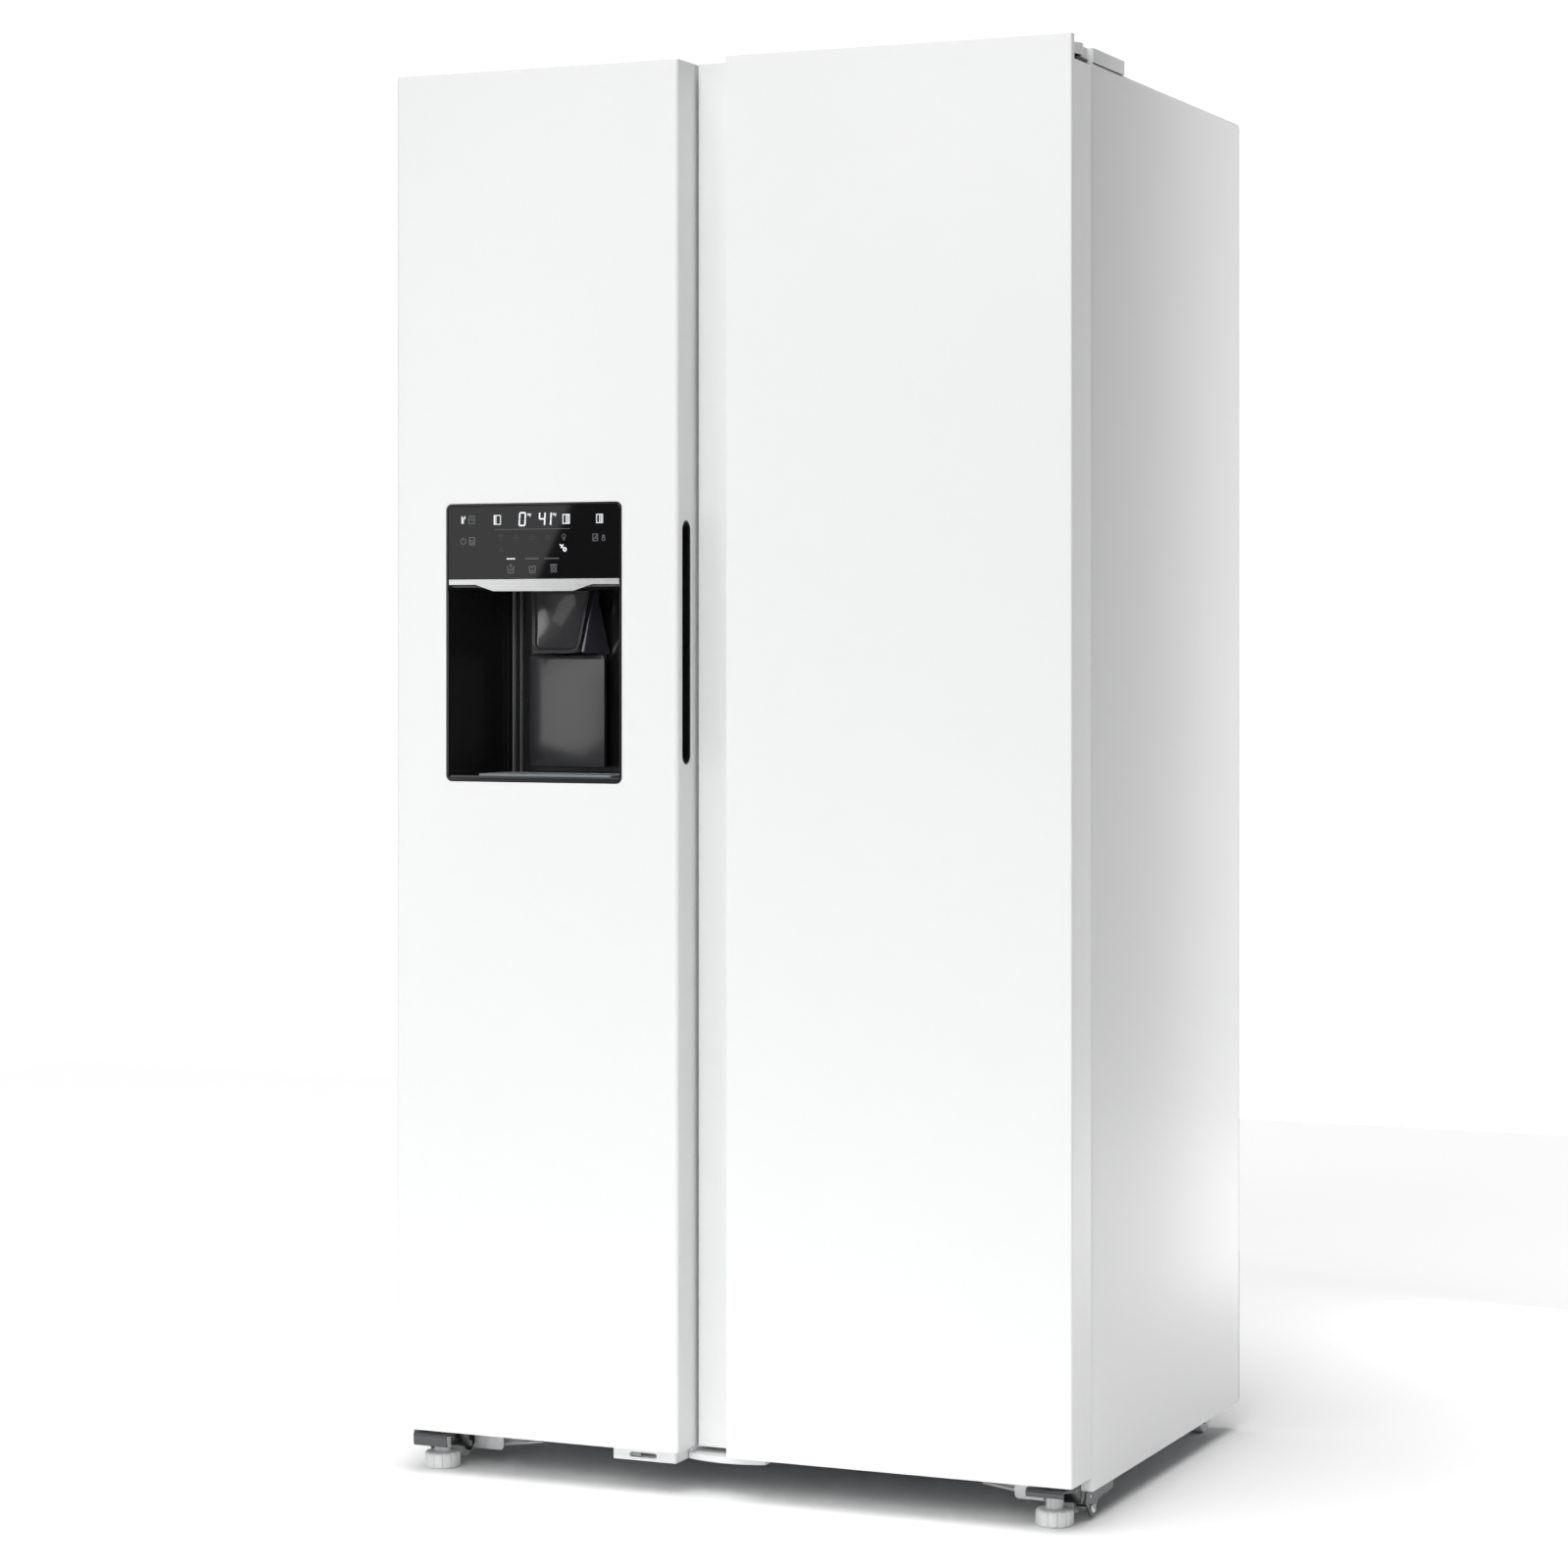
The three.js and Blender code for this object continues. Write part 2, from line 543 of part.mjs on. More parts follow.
function iceBucket() {
  const { x0, x1, y0, y1, z0, z1, wall } = BUCKET;
  const outlet = box(SPOUT.x0 + 8, SPOUT.x1 - 8, -212, -189, z0 - 1, z0 + wall + 1);
  const bore = cylinder("y", [AUGER.x, y1, AUGER.z], 6, 10, 20);
  place(cabinet, "ice_bucket", cut(tray(x0, x1, y0, y1, z0, z1, [12, 12, 0, 0], wall), outlet, bore),
    WHITE_PLASTIC);
}

// A screw of half turn paddles along a shaft that runs out through the bucket's back.
function iceAuger() {
  const { x, z, radius } = AUGER;
  const paddles = Array.from({ length: 11 }, (_, i) => {
    const blade = new THREE.BoxGeometry(radius, 5, 14).translate(radius / 2, 0, 0);
    return solid(blade.rotateY(i * 0.9).translate(x, -180 + i * 27, z));
  });
  const shaft = cylinder("y", [x, -30, z], 5, 340, 20);
  place(cabinet, "ice_auger", union(shaft, ...paddles), STEEL);
}

// ---- Doors ------------------------------------------------------------------

// The freezer door in plan, shrunk by inset; it stays open behind for its shell.
function freezerPlan(inset, back) {
  const { x0, x1 } = FREEZER_DOOR;
  const radius = DOOR.closedEdge - inset;
  return rounded(x0 + inset, x1 - inset, FRONT + inset, back, [radius, radius, 0, 0]);
}

// The fridge door in plan: a front panel that ends in a lip, a finger cove
// behind the lip and a flange that reaches across to the freezer door.
function fridgePlan(inset, back) {
  const { x0, x1, panelEdge } = FRIDGE_DOOR;
  const coveRadius = (GRIP.flange - GRIP.lip) / 2;
  const coveY = FRONT + (GRIP.flange + GRIP.lip) / 2;
  const edge = 3 - inset;
  const shape = new THREE.Shape();
  shape.moveTo(x1 - inset, back);
  shape.lineTo(x0 + inset, back);
  shape.lineTo(x0 + inset, FRONT + GRIP.flange + inset);
  shape.lineTo(GRIP.mouth, FRONT + GRIP.flange + inset);
  shape.absarc(GRIP.mouth, coveY, coveRadius + inset, Math.PI / 2, -Math.PI / 2, true);
  shape.lineTo(panelEdge + inset, FRONT + GRIP.lip - inset);
  shape.lineTo(panelEdge + inset, FRONT + inset);
  shape.lineTo(x1 - inset - edge, FRONT + inset);
  shape.absarc(x1 - inset - edge, FRONT + inset + edge, edge, -Math.PI / 2, 0);
  return shape;
}

// A door's form: its plan raised, less the pocket that clears the top hinge.
function doorBlock(plan, side, inset, back) {
  const [a, b] = [SIDE - HINGE.notchWidth - inset, SIDE + 5].map((v) => side * v).sort((p, q) => p - q);
  const notch = box(a, b, FRONT + HINGE.lip - inset, BACK, HINGE.notchFloor - inset, HEIGHT + 5);
  return cut(prismZ(plan(inset, back), DOOR.bottom + inset, HEIGHT - inset, 4), notch);
}

function pinBores(side, radius, reach) {
  const bore = (z0, z1) => cylinder("z", [side * HINGE.x, HINGE.y, (z0 + z1) / 2], radius, z1 - z0);
  return [bore(DOOR.bottom - 5, 76 + reach), bore(1718 - reach, HINGE.notchFloor + 5)];
}

function doorPanel(plan, side, ...openings) {
  return cut(doorBlock(plan, side, 0, DOOR.back), doorBlock(plan, side, SHEET, DOOR.back + 5),
    ...pinBores(side, HINGE.pin + 1, 0), ...openings);
}

const spoutPath = (grow) => prismX(polygon([
  [SPOUT.back + grow, 1044 - 2 * grow], [SPOUT.back + grow, 1140 - grow],
  [-187 + grow, 1236], [-187 + grow, 1260], [-231 - grow, 1260], [-231 - grow, 1240],
  [SPOUT.front - grow, 1140], [SPOUT.front - grow, 1044 - 2 * grow],
]), SPOUT.x0 - grow, SPOUT.x1 + grow);

// The dispenser's outline with clearance all round, as a pocket of some depth.
function dispenserPocket(grow) {
  const { x0, x1, z0, z1, corner, depth } = DISPENSER;
  return union(
    prismY(rounded(x0 - grow, x1 + grow, z0 - grow, z1 + grow, corner + grow),
      FRONT - 5, FRONT + 30 + grow),
    box(x0 - grow, x1 + grow, FRONT + 20 - grow, FRONT + depth + 3 + grow,
      z0 - grow, RECESS.z1 + 3 + grow),
  );
}

// The handle slot's outline in Y and Z, grown all round.
const slotOutline = (grow) => rounded(FRONT + SLOT.d0 - grow, FRONT + SLOT.d1 + grow,
  SLOT.z0 - grow, SLOT.z1 + grow, (SLOT.d1 - SLOT.d0) / 2 + grow - 0.01);

const slotPocket = (grow) =>
  prismX(slotOutline(grow), FREEZER_DOOR.x1 - SLOT.depth - grow, FREEZER_DOOR.x1 + 5, 4);

// Where the two upright ribs of a door liner stand, clear of the compartment's walls.
function dykes(bay) {
  const freezer = bay === FREEZER;
  const left = freezer ? FREEZER.x0 + DYKE.clear : FRIDGE.x0 + DYKE.clear + 1;
  const right = freezer ? FREEZER.x1 - DYKE.clear - 4 : FRIDGE.x1 - DYKE.clear;
  return { outerLeft: left, outerRight: right, left: left + DYKE.width, right: right - DYKE.width };
}

// The raised ring of a door liner, its outer form shrunk by inset.
function dykeRing(bay, inset) {
  const { outerLeft, outerRight, left, right } = dykes(bay);
  const [z0, z1] = [CAVITY.floor + 10, CAVITY.top - 10];
  const [front, back] = [DOOR.back - 1, DYKE.back - inset];
  return cut(
    box(outerLeft + inset, outerRight - inset, front, back, z0 + inset, z1 - inset),
    box(left - inset, right + inset, front - 5, back + 5, z0 + DYKE.width - inset, z1 - DYKE.width + inset),
  );
}

const bulge = (inset) => box(BULGE.x0 + inset, BULGE.x1 - inset, DOOR.back - 1, BULGE.back + 2 - inset,
  BULGE.z0 + inset, BULGE.z1 + 2 - inset);

function doorLiner(bay, x0, x1, extra = []) {
  const [z0, z1] = [DOOR.bottom + 3, HINGE.notchFloor - 3];
  const sheet = box(x0 + 3, x1 - 3, DOOR.back + GAP, DOOR.back + PLASTIC, z0, z1);
  const keep = box(-SIDE, SIDE, DOOR.back + GAP, BACK, 0, HEIGHT);
  const outer = union(sheet, dykeRing(bay, 0), ...extra.map((form) => form(0))).intersect(keep);
  const hollow = union(dykeRing(bay, PLASTIC), ...extra.map((form) => form(PLASTIC)));
  return cut(outer, hollow);
}

function doorFoam(plan, side, bay, extra = []) {
  const inset = SHEET + GAP;
  const skin = PLASTIC + GAP;
  const slab = doorBlock(plan, side, inset, DOOR.back);
  return cut(union(slab, dykeRing(bay, skin), ...extra.map((form) => form(skin))),
    ...pinBores(side, HINGE.pin + 2, 4));
}

function gasket(x0, x1) {
  const { y0, y1, z0, z1, band } = GASKET;
  return cut(
    box(x0, x1, y0 + PLASTIC, y1, z0, z1),
    box(x0 + band, x1 - band, y0, y1 + 1, z0 + band, z1 - band),
  );
}

function buildFreezerDoor() {
  const side = -1;
  const openings = [dispenserPocket(GAP).intersect(box(-SIDE, 0, FRONT - 5, FRONT + 5, 0, HEIGHT)),
    slotPocket(GAP).intersect(box(-80, 0, FRONT, BACK, 0, HEIGHT))];
  place(freezerDoor, "freezer_door_panel", doorPanel(freezerPlan, side, ...openings), WHITE_ENAMEL);
  const foam = cut(doorFoam(freezerPlan, side, FREEZER, [bulge]),
    dispenserPocket(GAP), slotPocket(GAP), spoutPath(GAP));
  place(freezerDoor, "freezer_door_foam", foam, FOAM);
  const shell = doorLiner(FREEZER, FREEZER_DOOR.x0, FREEZER_DOOR.x1, [bulge]);
  const inner = union(dispenserPocket(GAP), spoutPath(GAP));
  place(freezerDoor, "freezer_door_liner", cut(shell, inner), LINER_WHITE);
  place(freezerDoor, "freezer_door_gasket", gasket(-437, -62), GREY_RUBBER);
}

function buildFridgeDoor() {
  const side = 1;
  const { x0, x1 } = FRIDGE_DOOR;
  place(fridgeDoor, "fridge_door_panel", doorPanel(fridgePlan, side), WHITE_ENAMEL);
  place(fridgeDoor, "fridge_door_foam", doorFoam(fridgePlan, side, FRIDGE), FOAM);
  place(fridgeDoor, "fridge_door_liner", doorLiner(FRIDGE, x0, x1), LINER_WHITE);
  place(fridgeDoor, "fridge_door_gasket", gasket(-49, 437), GREY_RUBBER);
}

// The pocket behind the handle slot in the freezer door's side face.
function handlePocket() {
  const x1 = FREEZER_DOOR.x1;
  const cup = cut(
    prismX(slotOutline(0), x1 - SLOT.depth, x1, 4),
    prismX(slotOutline(-PLASTIC), x1 - SLOT.depth + PLASTIC, x1 + 5, 4),
  );
  place(freezerDoor, "handle_pocket", cup, DARK_PLASTIC);
}

// A block under the freezer door's free end, slotted through from front to back.
function doorGuide() {
  const block = prismZ(rounded(-152, -65, FRONT + 8, FRONT + 50, 3), 40, DOOR.bottom - GAP);
  const slot = prismY(rounded(-129, -92, 44, 50, 2.9), FRONT, FRONT + 30);
  place(freezerDoor, "door_guide", cut(block, slot), WHITE_PLASTIC);
}

// ---- Dispenser --------------------------------------------------------------

const dispenserMiddle = (DISPENSER.x0 + DISPENSER.x1) / 2;
const PADDLE = {
  y: FRONT + 93,
  thickness: 4,
  top: 1043,
  bottom: 897,
  half: 55,
  axisY: FRONT + 104,
  axisZ: 1033,
  pin: 3,
  barrel: 42, // half its length
  post: 6,
};

// The housing: a deep recess below, a shallow tray for the controls above.
function dispenserHousing() {
  const { x0, x1, z0, z1, corner, depth } = DISPENSER;
  const back = FRONT + depth;
  const face = prismY(rounded(x0, x1, z0, z1, corner), FRONT, FRONT + 28);
  const well = box(x0 + 1, x1 - 1, FRONT + 20, back + RECESS.wall, z0 + 1, RECESS.z1 + RECESS.wall);
  const recess = prismZ(polygon([
    [x0 + 3, FRONT - 5], [x1 - 3, FRONT - 5], [x1 - 3, FRONT + 10],
    [x1 - 14, back], [x0 + 36, back], [x0 + 3, FRONT + 10],
  ]), RECESS.z0, RECESS.z1);
  const controls = prismY(rounded(x0 + 2, x1 - 2, RECESS.z1 + 3, z1 - 2, [0, 0, 6, 6]),
    FRONT - 5, FRONT + 25);
  const throat = box(SPOUT.x0 - GAP, SPOUT.x1 + GAP, SPOUT.front - GAP, back + 5,
    RECESS.z1 - 1, RECESS.z1 + 8);
  const { axisY, axisZ, pin, barrel, post } = PADDLE;
  const pivots = [-1, 1].map((side) => cylinder("x",
    [dispenserMiddle + side * (barrel - 2), axisY, axisZ], pin, 16, 16));
  const posts = [-1, 1].map((side) => {
    const x = dispenserMiddle + side * (barrel + 2 + post / 2);
    return box(x - post / 2, x + post / 2, axisY - 5, back + 1, axisZ - 5, axisZ + 5);
  });
  const barSeat = box(x0 + 2.3, x1 - 2.3, FRONT - 5, FRONT + 6 + GAP, 1120.7, 1136);
  const shell = cut(union(face, well), recess, controls, throat, barSeat);
  const body = union(shell, ...posts, ...pivots);
  place(freezerDoor, "dispenser_housing", body, DARK_PLASTIC);
}

function controlPanel() {
  const { x0, x1, z1 } = DISPENSER;
  const glass = prismY(rounded(x0 + 2.3, x1 - 2.3, 1136.3, z1 - 2.3, [0, 0, 5.7, 5.7]), FRONT, FRONT + 5);
  place(freezerDoor, "control_panel", glass, BLACK_GLOSS);
}

// The silver bar under the controls, with a lower middle stretch.
function dispenserTrim() {
  const [a, b] = [DISPENSER.x0 + 3.3, DISPENSER.x1 - 3.3];
  const bar = prismY(polygon([
    [a, 1136], [a, 1129.3], [-341, 1129.3], [-316, 1121], [-204, 1121], [-177.5, 1129.3],
    [b, 1129.3], [b, 1136],
  ]), FRONT, FRONT + 6);
  place(freezerDoor, "dispenser_trim", bar, SILVER);
}

function iceChute() {
  const { x0, x1, front, back, wall } = SPOUT;
  const bowl = prismY(rounded(x0, x1, 1044, 1120, [26, 26, 0, 0]), FRONT, BACK);
  const above = box(-SIDE, SIDE, FRONT, BACK, 1100, 1251.5);
  const inner = spoutPath(-wall);
  const mouth = box(x0 + wall, x1 - wall, front + wall, back - wall, 1030, 1100);
  const tube = spoutPath(0).intersect(union(bowl, above));
  place(freezerDoor, "ice_chute", cut(tube, inner, mouth), BLACK_GLOSS);
}

// The push plate hangs in front of its pivot, which is hidden behind it.
function dispenserPaddle() {
  const { y, thickness, top, bottom, half, barrel, axisY, axisZ, pin } = PADDLE;
  const [x0, x1] = [dispenserMiddle - half, dispenserMiddle + half];
  const plate = prismY(rounded(x0, x1, bottom, top, [4, 4, 6, 12]), y, y + thickness);
  const web = box(dispenserMiddle - barrel, dispenserMiddle + barrel,
    y + 1, axisY, axisZ - 4, axisZ + 4);
  const sleeve = cylinder("x", [dispenserMiddle, axisY, axisZ], pin + 2, 2 * barrel, 20);
  const bore = cylinder("x", [dispenserMiddle, axisY, axisZ], pin + 0.4, 2 * barrel + 4, 16);
  place(freezerDoor, "dispenser_paddle", cut(union(plate, web, sleeve), bore), DARK_PLASTIC);
}

function dripTray() {
  const [x0, x1] = [DISPENSER.x0 + 42, DISPENSER.x1 - 18];
  const plate = prismZ(rounded(x0, x1, FRONT + 6, FRONT + 84, [4, 4, 10, 10]), RECESS.z0 + GAP, 890.5);
  const slots = Array.from({ length: 9 }, (_, i) => x0 + 12 + i * 19).map((left) =>
    prismZ(rounded(left, left + 9, FRONT + 16, FRONT + 72, 4), RECESS.z0 - 1, 895, 2));
  place(freezerDoor, "drip_tray", cut(plate, ...slots), GREY_PLASTIC);
}

// ---- Assembly ---------------------------------------------------------------

const ledgesFor = (bay) => [
  ...SHELVES.filter(([, where]) => where === bay)
    .map(([, , z, y0, y1]) => [z - GAP, y0 + 10, y1 - 10]),
  ...DRAWERS.filter(([, where]) => where === bay)
    .map(([, , , z1, back]) => [z1 + 8, DRAWER_FRONT, back - 10]),
];

outerWrapper();
cabinetFoam();
mullionFoam();
liner("freezer_liner", FREEZER, ledgesFor(FREEZER));
liner("fridge_liner", FRIDGE, ledgesFor(FRIDGE));
basePan();
backPanel();
machineCover();
compressor();
condenser();
evaporator();
evaporatorCover();
fan("condenser_fan", CONDENSER_FAN, "x", BLACK_STEEL);
fan("evaporator_fan", EVAPORATOR_FAN, "y", GREY_PLASTIC);
baseLip();
for (const [label, side] of [["left", -1], ["right", 1]]) {
  topHinge(label, side);
  hingeCover(label, side);
  bottomHinge(label, side);
  foot(label, side);
}
rollers("front", FRONT_ROLLER);
rollers("rear", REAR_ROLLER);
SHELVES.forEach(shelf);
DRAWERS.forEach(drawer);
iceMaker();
iceBucket();
iceAuger();

buildFreezerDoor();
handlePocket();
doorGuide();
dispenserHousing();
controlPanel();
dispenserTrim();
iceChute();
dispenserPaddle();
dripTray();
buildFridgeDoor();
BINS.forEach(bin);

export default fridge;
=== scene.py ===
import json
from math import cos, pi, radians, sin

import bmesh
import bpy
from mathutils import Matrix, Vector


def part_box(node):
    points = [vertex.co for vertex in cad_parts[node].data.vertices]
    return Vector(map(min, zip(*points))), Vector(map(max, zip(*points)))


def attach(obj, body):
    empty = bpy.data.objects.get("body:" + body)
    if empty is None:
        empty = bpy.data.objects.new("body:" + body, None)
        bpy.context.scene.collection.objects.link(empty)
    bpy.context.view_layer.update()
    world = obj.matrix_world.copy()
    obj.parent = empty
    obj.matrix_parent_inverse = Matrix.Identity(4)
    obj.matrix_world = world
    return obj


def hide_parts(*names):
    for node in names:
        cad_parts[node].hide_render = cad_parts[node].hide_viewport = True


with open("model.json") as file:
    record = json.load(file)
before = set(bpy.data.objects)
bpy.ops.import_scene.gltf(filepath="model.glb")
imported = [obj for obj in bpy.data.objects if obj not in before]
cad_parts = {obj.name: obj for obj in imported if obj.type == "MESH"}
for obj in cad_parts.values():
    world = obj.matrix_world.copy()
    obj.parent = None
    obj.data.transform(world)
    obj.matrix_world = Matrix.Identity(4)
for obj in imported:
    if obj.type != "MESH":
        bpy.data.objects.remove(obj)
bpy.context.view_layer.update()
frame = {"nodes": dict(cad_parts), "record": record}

# Sizes are in metres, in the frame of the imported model: the doors face -Y.
MM = 0.001
nodes = frame["nodes"]
body_of_node = {
    node: body for body, members in frame["record"]["behaviour"]["bodies"].items() for node in members
}
slot_of_node = {part["node"]: part["material_slot"] for part in frame["record"]["subparts"]}

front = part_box("freezer_door_panel")[0][1]


# ---- Shader expressions -------------------------------------------------------


class Wire:
    """An output socket whose arithmetic adds Math nodes to its tree."""

    def __init__(self, finish, socket):
        self.finish = finish
        self.socket = socket

    def _math(self, operation, first, second=0.0):
        return self.finish.node("ShaderNodeMath", {"operation": operation}, first, second)

    def __add__(self, other):
        return self._math("ADD", self, other)

    __radd__ = __add__

    def __sub__(self, other):
        return self._math("SUBTRACT", self, other)

    def __rsub__(self, other):
        return self._math("SUBTRACT", other, self)

    def __mul__(self, other):
        return self._math("MULTIPLY", self, other)

    __rmul__ = __mul__

    def __truediv__(self, other):
        return self._math("DIVIDE", self, other)

    def __pow__(self, other):
        return self._math("POWER", self, other)

    def above(self, level, softness):
        """0 below the level and 1 above it, with a soft edge of that width."""
        settings = {"interpolation_type": "SMOOTHSTEP"}
        return self.finish.node(
            "ShaderNodeMapRange", settings, self, level - softness / 2, level + softness / 2
        )


class Finish:
    """One procedural material, built around a Principled shader."""

    def __init__(self, name):
        self.material = bpy.data.materials.new(name)
        self.material.use_nodes = True
        self.tree = self.material.node_tree
        self.shader = self.tree.nodes["Principled BSDF"]
        self.point = self.node("ShaderNodeTexCoord", {}, output="Object")

    def put(self, socket, value):
        if isinstance(value, Wire):
            self.tree.links.new(value.socket, socket)
        elif socket.type == "RGBA" and len(value) == 3:
            socket.default_value = (*value, 1.0)
        else:
            socket.default_value = value

    def node(self, kind, settings, *values, output=0, **named):
        made = self.tree.nodes.new(kind)
        for key, value in settings.items():
            setattr(made, key, value)
        for index, value in enumerate(values):
            self.put(made.inputs[index], value)
        for key, value in named.items():
            self.put(made.inputs[key.replace("_", " ")], value)
        return Wire(self, made.outputs[output])

    def stretched(self, scale):
        return self.node("ShaderNodeMapping", {}, self.point, Scale=scale)

    def noise(self, scale, detail=3.0, rough=0.5, where=None):
        where = where or self.point
        return self.node(
            "ShaderNodeTexNoise", {}, Vector=where, Scale=scale, Detail=detail, Roughness=rough
        )

    def blend(self, factor, first, second):
        made = self.tree.nodes.new("ShaderNodeMix")
        made.data_type = "RGBA"
        self.put(made.inputs[0], factor)
        self.put(made.inputs[6], first)
        self.put(made.inputs[7], second)
        return Wire(self, made.outputs[2])

    def bump(self, height, distance, strength=1.0):
        return self.node("ShaderNodeBump", {}, Height=height, Distance=distance, Strength=strength)

    def surface(self, **sockets):
        for key, value in sockets.items():
            self.put(self.shader.inputs[key.replace("_", " ")], value)
        return self.material


# ---- Finishes -----------------------------------------------------------------


def white_enamel():
    """Powder-coated steel: an even white with a faint orange-peel surface."""
    f = Finish("white_enamel")
    cloud = f.noise(1.3, 2.0)
    peel = f.noise(420.0, 2.0)
    speck = f.noise(2600.0, 1.0).above(0.72, 0.05)
    colour = f.blend(cloud, (0.862, 0.866, 0.868), (0.884, 0.887, 0.888))
    colour = f.blend(speck * 0.15, colour, (0.80, 0.80, 0.80))
    return f.surface(
        Base_Color=colour,
        Roughness=0.30 + cloud * 0.06,
        Specular_IOR_Level=0.45,
        Coat_Weight=0.15,
        Coat_Roughness=0.2,
        Normal=f.bump(peel, 0.00006, 0.35),
    )


def moulded(name, colour, roughness, grain=900.0, depth=0.00003, tint=0.015, coat=0.0):
    """Moulded plastic with a fine spark-eroded grain and slightly uneven gloss."""
    f = Finish(name)
    grain_height = f.noise(grain, 3.0, 0.6)
    flow = f.noise(6.0, 1.0, 0.5)
    darker = tuple(channel * (1 - tint) for channel in colour)
    return f.surface(
        Base_Color=f.blend(flow, darker, colour),
        Roughness=roughness - 0.02 + flow * 0.04,
        Coat_Weight=coat,
        Coat_Roughness=0.12,
        Normal=f.bump(grain_height, depth, 0.2),
    )


def polyurethane_foam():
    f = Finish("foam")
    cells = f.node("ShaderNodeTexVoronoi", {}, Vector=f.point, Scale=700.0)
    skin = f.noise(14.0, 4.0)
    return f.surface(
        Base_Color=f.blend(skin, (0.80, 0.70, 0.44), (0.88, 0.80, 0.56)),
        Roughness=0.95,
        Normal=f.bump(cells, 0.0006, 0.7),
    )


def gasket_rubber():
    f = Finish("gasket_rubber")
    flow = f.noise(30.0, 3.0)
    return f.surface(
        Base_Color=f.blend(flow, (0.50, 0.51, 0.52), (0.58, 0.59, 0.60)),
        Roughness=0.62 + flow * 0.1,
        Normal=f.bump(f.noise(1200.0), 0.00003, 0.6),
    )


def black_glass():
    """Tempered black glass over the display."""
    f = Finish("black_glass")
    wave = f.noise(5.0, 2.0)
    return f.surface(
        Base_Color=f.blend(wave, (0.0025, 0.0025, 0.003), (0.004, 0.004, 0.0045)),
        Roughness=0.02 + wave * 0.02,
        Specular_IOR_Level=0.35,
    )


def gloss_black(name, colour, roughness):
    """Piano-gloss moulding with the faint waviness of a large plastic part."""
    f = Finish(name)
    wave = f.noise(26.0, 2.0)
    return f.surface(
        Base_Color=f.blend(wave, colour, tuple(channel * 1.25 for channel in colour)),
        Roughness=roughness + wave * 0.04,
        Coat_Weight=0.5,
        Coat_Roughness=0.05,
        Normal=f.bump(wave, 0.0003, 0.25),
    )


def brushed(name, colour, roughness, direction, strength=0.5):
    """Metal with fine lines that run along one axis."""
    f = Finish(name)
    lines = f.noise(1.0, 4.0, 0.6, where=f.stretched(direction))
    broad = f.noise(22.0, 2.0)
    darker = tuple(channel * 0.86 for channel in colour)
    return f.surface(
        Base_Color=f.blend(lines, darker, colour),
        Metallic=1.0,
        Roughness=roughness - 0.06 + lines * 0.12 + broad * 0.05,
        Normal=f.bump(lines, 0.00005, strength),
    )


def zinc_plate(name, colour, roughness):
    """Zinc-coated sheet with large soft spangles."""
    f = Finish(name)
    spangle = f.node("ShaderNodeTexVoronoi", {}, Vector=f.point, Scale=90.0)
    tone = f.noise(60.0, 2.0)
    darker = tuple(channel * 0.8 for channel in colour)
    return f.surface(
        Base_Color=f.blend(tone * 0.6 + spangle * 0.5, darker, colour),
        Metallic=1.0,
        Roughness=roughness + tone * 0.12,
        Normal=f.bump(f.noise(300.0), 0.00004, 0.4),
    )


def black_lacquer():
    """Satin black paint over sheet metal, a little dusty."""
    f = Finish("black_steel")
    dust = f.noise(40.0, 5.0, 0.7)
    return f.surface(
        Base_Color=f.blend(dust ** 3.0, (0.012, 0.012, 0.013), (0.07, 0.07, 0.07)),
        Roughness=0.36 + dust * 0.2,
        Normal=f.bump(f.noise(260.0), 0.0001, 0.4),
    )


def clear_styrene():
    """Clear injection-moulded plastic, seen as a pale tinted shell."""
    f = Finish("clear_plastic")
    flow = f.noise(18.0, 3.0)
    return f.surface(
        Base_Color=f.blend(flow, (0.80, 0.86, 0.89), (0.90, 0.94, 0.95)),
        Roughness=0.08 + flow * 0.06,
        Alpha=0.34,
        Coat_Weight=0.5,
        Coat_Roughness=0.03,
    )


def shelf_glass():
    f = Finish("shelf_glass")
    wave = f.noise(7.0, 2.0)
    return f.surface(
        Base_Color=f.blend(wave, (0.62, 0.80, 0.75), (0.72, 0.86, 0.82)),
        Roughness=0.03 + wave * 0.02,
        Alpha=0.36,
        Coat_Weight=0.7,
        Coat_Roughness=0.01,
    )


def lit_mark(name, colour, strength):
    """A lit segment of the display, a little uneven across its width."""
    f = Finish(name)
    glow = f.noise(900.0, 1.0)
    return f.surface(
        Base_Color=(0.02, 0.02, 0.02),
        Emission_Color=f.blend(glow, tuple(channel * 0.85 for channel in colour), colour),
        Emission_Strength=strength,
        Roughness=0.4,
    )


def studio_floor():
    f = Finish("studio_floor")
    cloud = f.noise(0.8, 2.0)
    return f.surface(
        Base_Color=f.blend(cloud, (0.968, 0.968, 0.968), (0.98, 0.98, 0.98)),
        Roughness=0.7,
        Specular_IOR_Level=0.2,
    )


